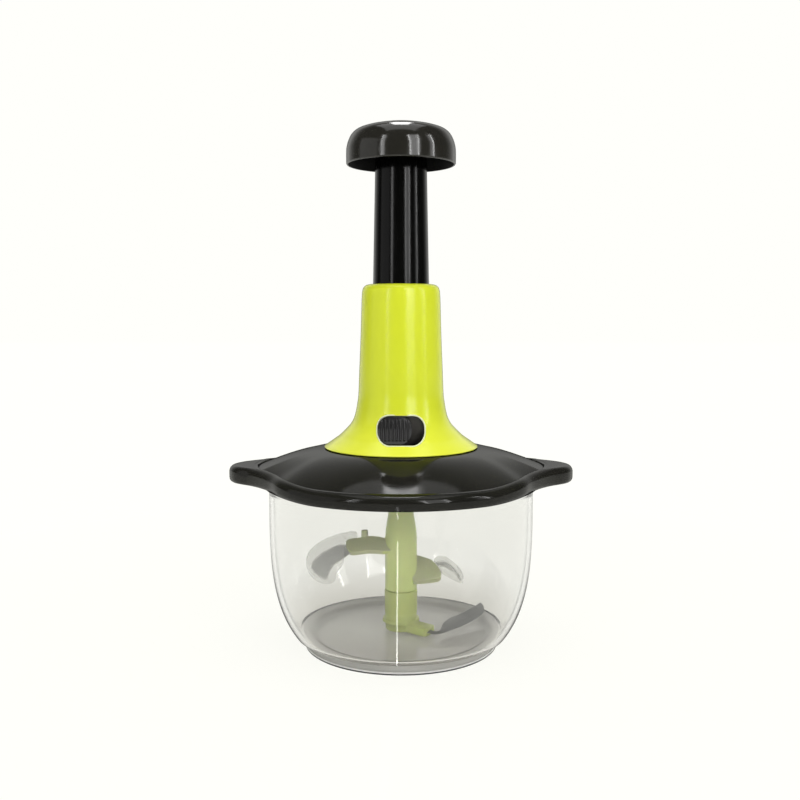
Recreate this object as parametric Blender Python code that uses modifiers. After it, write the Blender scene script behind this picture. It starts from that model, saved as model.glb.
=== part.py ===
"""Manual press chopper: clear bowl, winged lid, press column and bladed rotor.

Metres, +Z up. The origin is the middle of the foot ring's underside.
"""

import math

import bmesh
import bpy
from mathutils import Matrix, Vector

# Clearances
FIT_GAP = 0.0003
SLIDE_GAP = 0.0004
MERGE_DISTANCE = 0.00001
WELD_DISTANCE = 0.000001

# How finely round pieces are divided
WIDE_STEPS = 36
BODY_STEPS = 24
SMALL_STEPS = 12
TWIST_STEPS = 45

# Bowl, measured up from the underside of the foot ring
BOWL_RADIUS = 0.0748
BOWL_WIDEST_HEIGHT = 0.100
BOWL_CURVE_DEPTH = 0.1249
BOWL_CURVE_POWER = 2.21
BOWL_RIM_HEIGHT = 0.0919
BOWL_WALL = 0.0023
BOWL_FLOOR_TOP = 0.0056
BOWL_FLOOR_THICKNESS = 0.0024
BOWL_FOOT_STEP = 0.0012
BOWL_FOOT_HEIGHT = BOWL_FLOOR_TOP + BOWL_FOOT_STEP
BOWL_FOOT_INSET = 0.0030
BOWL_BOSS_RADIUS = 0.0036
BOWL_BOSS_RISE = 0.0012
BOWL_RIM_ROUND = 0.0006
BOWL_WALL_POINTS = 11
BOWL_SPACING_POWER = 0.8


def bowl_radius(height, wall=0):
    """The bowl's radius at a height: its outside, or its inside if given the wall."""
    depth = BOWL_CURVE_DEPTH - wall
    drop = abs(BOWL_WIDEST_HEIGHT - height) / depth
    return (BOWL_RADIUS - wall) * (1 - drop**BOWL_CURVE_POWER) ** (1 / BOWL_CURVE_POWER)


# Foot ring
FOOT_RING_WIDTH = 0.0069
FOOT_RING_EDGE = 0.0005

# Pivot pin, set in the bowl's floor
PIN_RADIUS = 0.0020
PIN_DEPTH = 0.0011
PIN_RISE = 0.0284
PIN_BOTTOM = BOWL_FLOOR_TOP - PIN_DEPTH
PIN_TOP = BOWL_FLOOR_TOP + PIN_RISE
PIN_TIP = 0.0006

# Rotor sleeve with the lowest arm
SLEEVE_TOP_RADIUS = 0.0092
SLEEVE_BOTTOM_RADIUS = 0.0086
SLEEVE_HEIGHT = 0.02255
SLEEVE_BOTTOM = BOWL_FLOOR_TOP + BOWL_BOSS_RISE + FIT_GAP
SLEEVE_TOP = SLEEVE_BOTTOM + SLEEVE_HEIGHT
SPIGOT_RADIUS = 0.0055
SPIGOT_RISE = 0.0064
BUSH_WALL = 0.0006
BUSH_OUTER = PIN_RADIUS + FIT_GAP + BUSH_WALL
LOW_ARM_WIDTH = 0.0090
LOW_ARM_LIFT = 0.0001
LOW_ARM_THICKNESS = 0.0044
LOW_ARM_BOTTOM = SLEEVE_BOTTOM + LOW_ARM_LIFT
LOW_ARM_TOP = LOW_ARM_BOTTOM + LOW_ARM_THICKNESS
LOW_ARM_YAW = math.radians(-39.6)
LOW_ARM_REACH_SHARE = 2.05

# Each arm, blade and guard lies in a tilted plane through the rotor's axis.
# Outline points are shares of one size, out from the axis and across the arm. That
# size leaves a gap between the lowest blade's tip and the bowl's wall.
LOW_TIP_RISE = 0.0063
LOW_TIP_GAP = 0.00259
LOW_TIP_SHARE = 5.258
UPPER_ARM_RISE = 0.0514
MIDDLE_ARM_RISE = 0.0354
LOW_BLADE_LIFT = 0.0008
UPPER_PLANE_HEIGHT = BOWL_FLOOR_TOP + UPPER_ARM_RISE
MIDDLE_PLANE_HEIGHT = BOWL_FLOOR_TOP + MIDDLE_ARM_RISE
LOW_PLANE_HEIGHT = LOW_ARM_BOTTOM + LOW_BLADE_LIFT
LOW_TIP_RADIUS = bowl_radius(LOW_PLANE_HEIGHT + LOW_TIP_RISE, BOWL_WALL) - LOW_TIP_GAP
OUTLINE_SIZE = LOW_TIP_RADIUS / LOW_TIP_SHARE
UPPER_TURN = (math.radians(-40), 0, math.radians(180))
MIDDLE_TURN = (math.radians(40), 0, 0)
LOW_TURN = (math.radians(7), 0, math.radians(-75))
ARM_THICKNESS = 0.0034
BLADE_THICKNESS = 0.0010
GUARD_THICKNESS = 0.0034
PEG_RADIUS = 0.0020
PEG_RISE = 0.0072
PEG_TOP = UPPER_PLANE_HEIGHT + PEG_RISE
PEG_SHARES = (-2.03, 0.20)

UPPER_ARM_SHARES = (
    (0, -0.09), (0.97, -0.09), (1.25, -0.19), (1.57, -0.27), (1.94, -0.25), (2.32, -0.12),
    (2.93, -0.06), (3.04, 0.10), (3.04, 0.84), (2.71, 0.92), (2.27, 0.80), (1.82, 0.72),
    (1.40, 0.76), (1.00, 0.80), (0, 0.80),
)
UPPER_BLADE_SHARES = (
    (1.40, 0.18), (2.95, 0.18), (3.21, 0.30), (3.45, 0.42), (3.70, 0.52), (3.95, 0.59),
    (4.18, 0.66), (4.40, 0.78), (4.61, 0.94), (4.82, 1.13), (4.99, 1.35), (5.12, 1.54),
    (5.20, 1.74), (4.54, 2.82), (4.35, 2.47), (4.28, 2.30), (4.19, 2.13), (4.06, 1.90),
    (3.89, 1.70), (3.69, 1.51), (3.48, 1.35), (3.27, 1.22), (3.06, 1.10), (2.95, 0.62),
    (1.40, 0.62),
)
UPPER_GUARD_SHARES = (
    (3.10, -0.20), (3.39, -0.18), (3.75, -0.06), (4.15, 0.13), (4.57, 0.38), (4.95, 0.72),
    (5.29, 1.10), (5.45, 1.36), (5.51, 1.62), (5.52, 2.00), (5.44, 2.38), (5.28, 2.71),
    (5.06, 3.00), (4.80, 3.20), (4.42, 3.36), (4.02, 3.36), (3.94, 3.06), (3.96, 2.71),
    (3.86, 2.42), (3.70, 2.14), (3.42, 1.78), (3.10, 1.46),
)
MIDDLE_ARM_SHARES = (
    (0.62, 0.80), (0.92, 0.81), (1.36, 0.73), (1.76, 0.59), (2.08, 0.40), (2.25, 0.09),
    (2.27, -0.43), (2.11, -0.70), (0.90, -0.87), (0.62, -0.87),
)
MIDDLE_BLADE_SHARES = (
    (1.10, 0.30), (2.32, 0.30), (2.56, 0.24), (2.76, 0.09), (2.95, -0.12), (3.09, -0.34),
    (3.16, -0.60), (2.94, -0.54), (2.76, -0.42), (2.55, -0.29), (2.32, -0.18), (1.10, -0.18),
)
MIDDLE_GUARD_SHARES = (
    (2.34, 0.73), (2.57, 0.59), (2.84, 0.36), (3.07, 0.09), (3.22, -0.14), (3.34, -0.40),
    (3.43, -0.66), (3.48, -0.95), (3.18, -0.86), (2.94, -0.75), (2.64, -0.60), (2.34, -0.48),
)
LOW_BLADE_SHARES = (
    (0.94, 0.91), (1.81, 1.51), (1.42, 1.75), (0.90, 2.15), (0.04, 2.66), (-0.29, 3.01),
    (-0.45, 3.40), (-0.53, 3.82), (-0.90, 4.08), (-1.36, 4.35), (-0.78, 5.20), (-0.32, 4.90),
    (0.16, 4.56), (0.59, 4.19), (0.97, 3.79), (1.22, 3.42), (1.39, 3.05), (1.54, 2.56),
    (1.65, 2.08), (1.79, 1.60), (1.91, 1.18), (1.18, 0.59),
)

# Lid, measured up from the bowl's rim
LID_SKIRT_GAP = 0.0008
LID_SKIRT_WALL = 0.0016
LID_SKIRT_INNER = BOWL_RADIUS + LID_SKIRT_GAP
LID_RIM_RADIUS = LID_SKIRT_INNER + LID_SKIRT_WALL
LID_RIM_TOP = 0.0047
LID_RIM_BOTTOM = -0.0029
LID_WING_TOP = 0.0085
LID_WING_BOTTOM = -0.0009
LID_WING_LENGTH = 0.0178
LID_WING_REACH = LID_RIM_RADIUS + LID_WING_LENGTH
LID_WING_HALF_ANGLE = math.radians(35.74)
LID_SLOPE_INSIDE = 0.0352
LID_SLOPE_OUTSIDE = 0.0028
LID_WING_START = LID_RIM_RADIUS - LID_SLOPE_INSIDE
LID_WING_FULL = LID_RIM_RADIUS + LID_SLOPE_OUTSIDE
LID_RECESS_DEPTH = 0.0010
LID_RIM_BORDER = 0.0057
LID_RECESS_HALF_DEPTH = LID_RIM_RADIUS - LID_RIM_BORDER
LID_RECESS_POINT_SHARE = 0.4213
LID_RECESS_REACH = LID_RECESS_HALF_DEPTH + LID_WING_LENGTH * LID_RECESS_POINT_SHARE
LID_RECESS_TIP_RADIUS = 0.0040
LID_CEILING = 0.0016
LID_CROWN_TOP = 0.0179
LID_CROWN_RADIUS = 0.0418
LID_CROWN_OVERLAP = 0.0004
LID_WALL = 0.0024
LID_WING_WALL = 0.0022
LID_PLUG_GAP = 0.0006
LID_PLUG_WALL = 0.0018
LID_PLUG_BOTTOM = -0.0064
LID_PLUG_OUTER = bowl_radius(BOWL_RIM_HEIGHT + LID_PLUG_BOTTOM, BOWL_WALL) - LID_PLUG_GAP
LID_PLUG_INNER = LID_PLUG_OUTER - LID_PLUG_WALL
# points of the wing's outline: shares of its half angle, and of its length beyond the rim
LID_WING_SHARES = (
    (1.0, 0.0), (0.7521, -0.0287), (0.5686, 0.0736), (0.4281, 0.2334), (0.3262, 0.4151),
    (0.2460, 0.6206), (0.1717, 0.8052), (0.0943, 0.9290), (0.0, 1.0),
)
# the crown's slope: out from its flat top, down from it, as shares of the way to its edge
LID_CROWN_SHARES = (
    (0, 0), (0.07, 0.018), (0.17, 0.070), (0.30, 0.164), (0.46, 0.312), (0.64, 0.512),
    (0.82, 0.743), (1, 1),
)

# Lid seal
SEAL_GAP = 0.0005
SEAL_INNER = LID_PLUG_OUTER + SEAL_GAP
SEAL_OUTER = LID_SKIRT_INNER - SEAL_GAP

# The pieces from here on are measured up from the flat top of the lid's crown
DECK_HEIGHT = BOWL_RIM_HEIGHT + LID_CROWN_TOP

# Rotor hub
HUB_RADIUS = 0.0089
HUB_STRAIGHT_TOP = -0.0498
HUB_NECK_RADIUS = 0.0072
HUB_NECK_HEIGHT = -0.0372
HUB_NOSE_RADIUS = 0.0060
HUB_NOSE_TOP = -0.0218
HEX_RADIUS = 0.0052
HEX_TOP = -0.0138

# Plunger column and what slides on it
COLUMN_WAIST_RADIUS = 0.0152
COLUMN_TAPER = 0.0012
COLUMN_TOP_TAPER = 0.0002
COLUMN_WALL = 0.0034
COLUMN_RECESS_WALL = 0.0020
SPIGOT_STEP = 0.0010
COLUMN_CLEARANCE = 0.0007
COLUMN_UPPER_RADIUS = COLUMN_WAIST_RADIUS - COLUMN_TAPER
COLUMN_TOP_RADIUS = COLUMN_UPPER_RADIUS - COLUMN_TOP_TAPER
COLUMN_BORE = COLUMN_WAIST_RADIUS - COLUMN_WALL
COLUMN_RECESS_RADIUS = COLUMN_WAIST_RADIUS - COLUMN_RECESS_WALL
SPIGOT_OUTER = COLUMN_WAIST_RADIUS - SPIGOT_STEP

# Guide tube and bush
GUIDE_BUSH_WALL = 0.0010
TUBE_WALL = 0.0017
TUBE_INNER = COLUMN_WAIST_RADIUS + SLIDE_GAP + GUIDE_BUSH_WALL + FIT_GAP
TUBE_OUTER = TUBE_INNER + TUBE_WALL
TUBE_FLANGE_WIDTH = 0.0076
TUBE_FLANGE_RADIUS = TUBE_OUTER + TUBE_FLANGE_WIDTH
TUBE_FLANGE_HEIGHT = 0.0020

# Collar
COLLAR_HEIGHT = 0.0889
COLLAR_BOTTOM = FIT_GAP
COLLAR_TOP = COLLAR_BOTTOM + COLLAR_HEIGHT
COLLAR_WALL = 0.0022
COLLAR_TUBE_GAP = 0.0005
COLLAR_NECK_RADIUS = TUBE_OUTER + COLLAR_TUBE_GAP + COLLAR_WALL
COLLAR_FLARE = 0.0208
COLLAR_LIP = 0.0025
COLLAR_LIP_BORE = COLUMN_WAIST_RADIUS + COLUMN_CLEARANCE
# points of its outside: shares of the flare beyond the neck, and of its height
COLLAR_SHARES = (
    (-0.2067, 1.0000), (-0.1202, 0.9955), (-0.0577, 0.9854), (-0.0192, 0.9696), (0.0, 0.9404),
    (0.0192, 0.8245), (0.0337, 0.7087), (0.0769, 0.4646), (0.1058, 0.3161), (0.1346, 0.2688),
    (0.1635, 0.2295), (0.2212, 0.1800), (0.3077, 0.1429), (0.3990, 0.1181), (0.5337, 0.0866),
    (0.6154, 0.0686), (0.7308, 0.0495), (0.8606, 0.0281), (1.0000, 0.0056), (1.0000, 0.0),
)
WINDOW_WIDTH = 0.0250
WINDOW_HEIGHT = 0.0147
WINDOW_CENTRE = 0.0125
WINDOW_CORNER = 0.0066
WINDOW_DEPTH = 0.0300
COLLAR_BOSS_RADIUS = 0.0030
COLLAR_BOSS_GAP = 0.0008
COLLAR_BOSS_CIRCLE = TUBE_FLANGE_RADIUS + COLLAR_BOSS_GAP + COLLAR_BOSS_RADIUS
COLLAR_BOSS_TOP = 0.0074
COLLAR_PAD_REACH = 0.0065
COLLAR_PAD_INNER = COLLAR_BOSS_CIRCLE - COLLAR_PAD_REACH
COLLAR_PAD_WIDTH = 0.0050
COLLAR_PAD_TOP = 0.0056
COLLAR_SCREW_ANGLES = (90, 210, 330)
COLLAR_SCREW_RADIUS = 0.0015
COLLAR_SCREW_TOP = 0.0062
COLLAR_SCREW_HEAD_RADIUS = 0.0029
COLLAR_SCREW_HEAD_HEIGHT = 0.0018

# Lock
TRACK_THICKNESS = 0.0015
TRACK_BACK = TUBE_OUTER + FIT_GAP
TRACK_FRONT = TRACK_BACK + TRACK_THICKNESS
TRACK_OVERHANG = 0.0020
TRACK_WIDTH = WINDOW_WIDTH + TRACK_OVERHANG * 2
TRACK_BELOW = 0.0079
TRACK_ABOVE = 0.0073
TRACK_BOTTOM = WINDOW_CENTRE - TRACK_BELOW
TRACK_TOP = WINDOW_CENTRE + TRACK_ABOVE
BUTTON_TRAVEL = 0.0060
BUTTON_END_GAP = 0.0003
BUTTON_SPARE_TRAVEL = 0.0006
BUTTON_LEFT = BUTTON_END_GAP - WINDOW_WIDTH / 2
BUTTON_WIDTH = WINDOW_WIDTH - BUTTON_END_GAP * 2 - BUTTON_SPARE_TRAVEL - BUTTON_TRAVEL
BUTTON_SIDE_GAP = 0.0007
BUTTON_INSET = 0.0010
BUTTON_RIB_COUNT = 8
BUTTON_RIB_WIDTH = 0.0010
BUTTON_RIB_RISE = 0.0011
TONGUE_WIDTH = 0.0030
TONGUE_THICKNESS = 0.0016
TONGUE_INSET = 0.0046
TONGUE_RISE = 0.0046
TONGUE_CENTRE = BUTTON_LEFT + TONGUE_INSET
TONGUE_TIP = COLUMN_WAIST_RADIUS + COLUMN_CLEARANCE
TONGUE_BOTTOM = WINDOW_CENTRE + TONGUE_RISE
TONGUE_TOP = TONGUE_BOTTOM + TONGUE_THICKNESS
TONGUE_SLOT_GAP = 0.0004
BALL_RADIUS = 0.0010
BALL_INSET = 0.0132
BALL_DROP = 0.0033
BALL_X = BUTTON_LEFT + BALL_INSET
BALL_HEIGHT = WINDOW_CENTRE - BALL_DROP

# Heights of the plunger
COLUMN_HOLD = 0.0260
COLUMN_LENGTH = 0.0970
COLUMN_WAIST_LENGTH = 0.0270
COLUMN_END_LENGTH = 0.0110
COLUMN_BOTTOM = COLLAR_TOP - COLUMN_HOLD
COLUMN_TOP = COLUMN_BOTTOM + COLUMN_LENGTH
COLUMN_WAIST_HEIGHT = COLUMN_BOTTOM + COLUMN_WAIST_LENGTH
COLUMN_UPPER_HEIGHT = COLUMN_TOP - COLUMN_END_LENGTH
COLUMN_RECESS_DEPTH = 0.0106
COLUMN_RECESS_TOP = COLUMN_BOTTOM + COLUMN_RECESS_DEPTH
STOP_RING_OUTER = TUBE_INNER - FIT_GAP
STOP_RING_HEIGHT = 0.0035
STOP_RING_TOP = COLUMN_BOTTOM + STOP_RING_HEIGHT
SPIGOT_SHOULDER = STOP_RING_TOP + FIT_GAP
NUT_BODY_RADIUS = COLUMN_RECESS_RADIUS - FIT_GAP
NUT_BODY_TOP = COLUMN_RECESS_TOP - SLIDE_GAP
NUT_FLANGE_LIP = 0.0012
NUT_FLANGE_RADIUS = SPIGOT_OUTER + NUT_FLANGE_LIP
NUT_FLANGE_THICKNESS = 0.0014
NUT_PIN_RADIUS = 0.0009
NUT_PIN_BITE = 0.0024
NUT_PIN_INSET = 0.0002
NUT_PIN_INNER = NUT_BODY_RADIUS - NUT_PIN_BITE
NUT_PIN_OUTER = COLUMN_WAIST_RADIUS - NUT_PIN_INSET
NUT_PIN_DROP = 0.0034
NUT_PIN_HEIGHT = NUT_BODY_TOP - NUT_PIN_DROP

# Knob
KNOB_RADIUS = 0.0295
KNOB_HEIGHT = 0.0209
KNOB_OVERLAP = 0.0072
KNOB_BOTTOM = COLUMN_TOP - KNOB_OVERLAP
# points of its outside: shares of its radius, and of its height
KNOB_SHARES = (
    (0.0, 0.9282), (0.1017, 0.9378), (0.2034, 0.9665), (0.2983, 0.9904), (0.3797, 1.0000),
    (0.4915, 0.9904), (0.6102, 0.9569), (0.7186, 0.9163), (0.8203, 0.8589), (0.9017, 0.7584),
    (0.9627, 0.5933), (0.9932, 0.4306), (1.0000, 0.2967), (1.0000, 0.0431),
)
KNOB_RIM_ROUND = 0.0008
KNOB_WALL = 0.0024
KNOB_HOLLOW_RISE = 0.0040
KNOB_HOLLOW_TOP = COLUMN_TOP + KNOB_HOLLOW_RISE
KNOB_HOLLOW_CORNER = 0.0040
KNOB_BOSS_WALL = 0.0025
KNOB_BOSS_LIFT = 0.0016
KNOB_BOSS_OUTER = COLUMN_TOP_RADIUS + FIT_GAP + KNOB_BOSS_WALL
KNOB_BOSS_BOTTOM = KNOB_BOTTOM + KNOB_BOSS_LIFT
KNOB_SCREW_RADIUS = 0.0020
KNOB_SCREW_REACH = 0.0075
KNOB_SCREW_TOP = COLUMN_TOP + KNOB_SCREW_REACH
KNOB_SCREW_HEAD_RADIUS = 0.0040
KNOB_SCREW_HEAD_HEIGHT = 0.0025
PLUG_LENGTH = 0.0120
PLUG_BOTTOM = COLUMN_TOP - PLUG_LENGTH

# Drive
SOCKET_RADIUS = 0.0086
SOCKET_BOTTOM = -0.0208
SOCKET_TOP = -0.0027
SOCKET_NECK_RADIUS = 0.0068
SOCKET_NECK_TOP = 0.0047
SPINDLE_FOOT_RADIUS = 0.0032
SPINDLE_FOOT_BOTTOM = -0.0105
SPINDLE_FOOT_GAP = 0.0005
SPINDLE_END_GAP = 0.0010
SPINDLE_TWIST_BOTTOM = SOCKET_NECK_TOP + SPINDLE_FOOT_GAP
SPINDLE_TOP = COLLAR_TOP - SPINDLE_END_GAP
SPINDLE_WIDTH = 0.0080
SPINDLE_DEPTH = 0.0044
SPINDLE_LEAD = 0.0250
SPINDLE_CORNER = 0.0008
HEX_GAP = 0.0004
WASHER_OUTER = 0.0104
WASHER_THICKNESS = 0.0010
CLIP_OUTER = 0.0093
CLIP_THICKNESS = 0.0010
CLIP_GROOVE_DEPTH = 0.0008
BEARING_WALL = 0.0008
BEARING_THICKNESS = 0.0030

# The lid's bore and the boss under it, for the drive socket
LID_BORE = SOCKET_NECK_RADIUS + SLIDE_GAP
LID_BOSS_INNER = SOCKET_RADIUS + BEARING_WALL + FIT_GAP * 2
LID_BOSS_WALL = 0.0019
LID_BOSS_OUTER = LID_BOSS_INNER + LID_BOSS_WALL
LID_BOSS_DEPTH = 0.0098
LID_BOSS_BOTTOM = LID_CROWN_TOP - LID_BOSS_DEPTH

# Return spring
SPRING_WIRE = 0.0012
SPRING_SIDE_GAP = 0.0006
SPRING_TURNS = 6.5
SPRING_POINTS_PER_TURN = 12
SEAT_GAP = 0.0005
SEAT_INNER = WASHER_OUTER + SEAT_GAP
SEAT_OUTER = TUBE_INNER - FIT_GAP
SEAT_THICKNESS = 0.0010
SPRING_RADIUS = SEAT_INNER + SPRING_WIRE / 2 + SPRING_SIDE_GAP / 2


def clear_scene():
    for scene_object in list(bpy.data.objects):
        bpy.data.objects.remove(scene_object, do_unlink=True)


def make_collection(name):
    collection = bpy.data.collections.new(name)
    bpy.context.scene.collection.children.link(collection)
    return collection


def make_material(name, colour, roughness, metallic=0.0):
    material = bpy.data.materials.new(name)
    material.use_nodes = True
    shader = material.node_tree.nodes["Principled BSDF"]
    shader.inputs["Base Color"].default_value = (*colour, 1)
    shader.inputs["Roughness"].default_value = roughness
    shader.inputs["Metallic"].default_value = metallic
    material.diffuse_color = (*colour, 1)
    return material


def clear_bowl_material():
    return make_material("bowl_clear", (0.78, 0.78, 0.76), 0.06)


def foot_material():
    return make_material("foot_grey", (0.30, 0.29, 0.28), 0.6)


def steel_material():
    return make_material("steel", (0.42, 0.42, 0.42), 0.25, 1.0)


def olive_material():
    return make_material("rotor_olive", (0.42, 0.50, 0.18), 0.25)


def blade_material():
    return make_material("blade_steel", (0.28, 0.29, 0.29), 0.3, 1.0)


def guard_material():
    return make_material("guard_clear", (0.80, 0.80, 0.78), 0.1)


def lid_material():
    return make_material("lid_smoke", (0.02, 0.02, 0.017), 0.12)


def seal_material():
    return make_material("seal_clear", (0.70, 0.70, 0.68), 0.5)


def lime_material():
    return make_material("collar_lime", (0.70, 0.86, 0.03), 0.3)


def black_material():
    return make_material("column_black", (0.006, 0.006, 0.006), 0.15)


def moulded_black_material():
    return make_material("black_moulded", (0.012, 0.011, 0.011), 0.4)


def button_material():
    return make_material("button_black", (0.008, 0.008, 0.008), 0.35)


def knob_material():
    return make_material("knob_smoke", (0.03, 0.027, 0.022), 0.15)


def nylon_material():
    return make_material("nylon_white", (0.72, 0.72, 0.68), 0.45)


def brass_material():
    return make_material("brass", (0.60, 0.44, 0.18), 0.3, 1.0)


def add_object(name, mesh, collection, material=None):
    made = bpy.data.objects.new(name, mesh)
    collection.objects.link(made)
    if material is not None:
        made.data.materials.append(material)
    return made


def smooth_round(made, angle=math.radians(35)):
    made.data.shade_smooth()
    made.data.set_sharp_from_angle(angle=angle)


def turned(name, profile, steps, collection, material=None, ring=False):
    """Turn a profile of (radius, height) points about Z; a ring's profile is closed."""
    mesh = bpy.data.meshes.new(name)
    shape = bmesh.new()
    corners = [shape.verts.new((radius, 0, height)) for radius, height in profile]
    for first, second in zip(corners, corners[1:]):
        shape.edges.new((first, second))
    if ring:
        shape.edges.new((corners[-1], corners[0]))
    shape.to_mesh(mesh)
    shape.free()
    made = add_object(name, mesh, collection, material)
    turn = made.modifiers.new("turn", "SCREW")
    turn.angle = math.tau
    turn.steps = steps
    turn.render_steps = steps
    turn.use_merge_vertices = True
    turn.merge_threshold = MERGE_DISTANCE
    turn.use_smooth_shade = True
    return made


def tube_profile(inner, outer, bottom, top):
    return [(outer, top), (outer, bottom), (inner, bottom), (inner, top)]


def tube(name, inner, outer, bottom, top, steps, collection, material=None):
    return turned(name, tube_profile(inner, outer, bottom, top), steps, collection, material, True)


def rod(name, radius, bottom, top, place, steps, collection, material=None):
    """An upright cylinder whose origin is at its foot."""
    mesh = bpy.data.meshes.new(name)
    shape = bmesh.new()
    bmesh.ops.create_cone(
        shape, cap_ends=True, segments=steps, radius1=radius, radius2=radius, depth=top - bottom
    )
    bmesh.ops.translate(shape, verts=shape.verts, vec=(0, 0, (top - bottom) / 2))
    shape.to_mesh(mesh)
    shape.free()
    made = add_object(name, mesh, collection, material)
    made.location = (*place, bottom)
    return made


def box(name, low, high, collection, material=None):
    """A box between two corners, with its origin in its middle."""
    mesh = bpy.data.meshes.new(name)
    shape = bmesh.new()
    bmesh.ops.create_cube(shape, size=1)
    size = [high[axis] - low[axis] for axis in range(3)]
    bmesh.ops.scale(shape, verts=shape.verts, vec=size)
    shape.to_mesh(mesh)
    shape.free()
    made = add_object(name, mesh, collection, material)
    made.location = [(high[axis] + low[axis]) / 2 for axis in range(3)]
    return made


def flat(name, points, thickness, collection, material=None):
    """A flat outline of the given thickness, half to each side of its own plane."""
    curve = bpy.data.curves.new(name, "CURVE")
    curve.dimensions = "2D"
    curve.fill_mode = "BOTH"
    curve.extrude = thickness / 2
    spline = curve.splines.new("POLY")
    spline.points.add(len(points) - 1)
    for corner, (across, along) in zip(spline.points, points):
        corner.co = (across, along, 0, 1)
    spline.use_cyclic_u = True
    drawn = bpy.data.objects.new(name + "_outline", curve)
    collection.objects.link(drawn)
    graph = bpy.context.evaluated_depsgraph_get()
    mesh = bpy.data.meshes.new_from_object(drawn.evaluated_get(graph))
    bpy.data.objects.remove(drawn)
    bpy.data.curves.remove(curve)
    shape = bmesh.new()
    shape.from_mesh(mesh)
    bmesh.ops.remove_doubles(shape, verts=shape.verts, dist=WELD_DISTANCE)
    bmesh.ops.dissolve_limit(
        shape, angle_limit=math.radians(0.5), verts=shape.verts, edges=shape.edges
    )
    bmesh.ops.recalc_face_normals(shape, faces=shape.faces)
    shape.to_mesh(mesh)
    shape.free()
    mesh.materials.clear()
    mesh.name = name
    return add_object(name, mesh, collection, material)


def cut(made, tool, operation="DIFFERENCE"):
    change = made.modifiers.new(operation.lower(), "BOOLEAN")
    change.operation = operation
    change.solver = "EXACT"
    change.object = tool
    tool.parent = made
    tool.matrix_parent_inverse = made.matrix_basis.inverted()
    tool.hide_render = True
    tool.display_type = "WIRE"


def grown(points, gap):
    """The outline moved outward by the gap along each corner's bisector."""
    area = sum(
        first[0] * second[1] - second[0] * first[1]
        for first, second in zip(points, points[1:] + points[:1])
    )
    side = 1 if area > 0 else -1
    moved = []
    for index, point in enumerate(points):
        before = Vector(point) - Vector(points[index - 1])
        after = Vector(points[(index + 1) % len(points)]) - Vector(point)
        before.normalize()
        after.normalize()
        first = Vector((before.y, -before.x)) * side
        second = Vector((after.y, -after.x)) * side
        bisector = (first + second).normalized()
        reach = gap / max(bisector.dot(first), 0.5)
        moved.append((point[0] + bisector.x * reach, point[1] + bisector.y * reach))
    return moved


def sized(shares):
    return [(across * OUTLINE_SIZE, along * OUTLINE_SIZE) for across, along in shares]


def laid(made, height, turn):
    made.location = (0, 0, height)
    made.rotation_euler = turn
    return made


def stadium(width, height, corner, count=6):
    """A rounded rectangle's corners, counter-clockwise."""
    points = []
    for quarter, (side, rise) in enumerate(((1, 1), (-1, 1), (-1, -1), (1, -1))):
        for step in range(count + 1):
            angle = math.radians(90) * (quarter + step / count)
            points.append(
                (
                    side * (width / 2 - corner) + corner * math.cos(angle),
                    rise * (height / 2 - corner) + corner * math.sin(angle),
                )
            )
    return points


def around(radius, degrees):
    angle = math.radians(degrees)
    return (radius * math.cos(angle), radius * math.sin(angle))


def wall_heights(bottom, top):
    count = BOWL_WALL_POINTS
    return [top + (bottom - top) * (step / count) ** BOWL_SPACING_POWER for step in range(count + 1)]


def build_bowl(parts, cutters, material):
    floor_bottom = BOWL_FLOOR_TOP - BOWL_FLOOR_THICKNESS
    boss_top = BOWL_FLOOR_TOP + BOWL_BOSS_RISE
    rim = BOWL_RIM_HEIGHT - BOWL_RIM_ROUND
    inside = [(bowl_radius(h, BOWL_WALL), h) for h in wall_heights(BOWL_FLOOR_TOP, rim)]
    outside = [(bowl_radius(h), h) for h in wall_heights(BOWL_FOOT_HEIGHT, rim)]
    foot_radius = outside[-1][0] - BOWL_FOOT_INSET
    profile = [(0, boss_top), (BOWL_BOSS_RADIUS, boss_top), (BOWL_BOSS_RADIUS, BOWL_FLOOR_TOP)]
    profile += reversed(inside)
    profile += [
        (inside[0][0] + BOWL_RIM_ROUND, BOWL_RIM_HEIGHT),
        (outside[0][0] - BOWL_RIM_ROUND, BOWL_RIM_HEIGHT),
    ]
    profile += outside
    profile += [(foot_radius, BOWL_FOOT_HEIGHT), (foot_radius, floor_bottom), (0, floor_bottom)]
    bowl = turned("bowl", profile, WIDE_STEPS, parts, material)
    hole = rod(
        "pin_hole",
        PIN_RADIUS + FIT_GAP,
        PIN_BOTTOM - FIT_GAP,
        boss_top + BOWL_BOSS_RISE,
        (0, 0),
        SMALL_STEPS,
        cutters,
    )
    cut(bowl, hole)
    return bowl


def build_foot_ring(parts, material):
    outer = bowl_radius(BOWL_FOOT_HEIGHT)
    inner = outer - FOOT_RING_WIDTH
    inner_wall = outer - BOWL_FOOT_INSET + FIT_GAP
    top = BOWL_FOOT_HEIGHT - FIT_GAP
    shelf = BOWL_FLOOR_TOP - BOWL_FLOOR_THICKNESS - FIT_GAP
    profile = [
        (outer - FOOT_RING_EDGE, top),
        (outer, top - FOOT_RING_EDGE),
        (outer, FOOT_RING_EDGE),
        (outer - FOOT_RING_EDGE, 0),
        (inner + FOOT_RING_EDGE, 0),
        (inner, FOOT_RING_EDGE),
        (inner, shelf),
        (inner_wall, shelf),
        (inner_wall, top),
    ]
    return turned("foot_ring", profile, WIDE_STEPS, parts, material, True)


def build_pin(parts, material):
    profile = [
        (0, PIN_TOP),
        (PIN_RADIUS - PIN_TIP, PIN_TOP),
        (PIN_RADIUS, PIN_TOP - PIN_TIP),
        (PIN_RADIUS, PIN_BOTTOM),
        (0, PIN_BOTTOM),
    ]
    return turned("pivot_pin", profile, SMALL_STEPS, parts, material)


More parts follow.
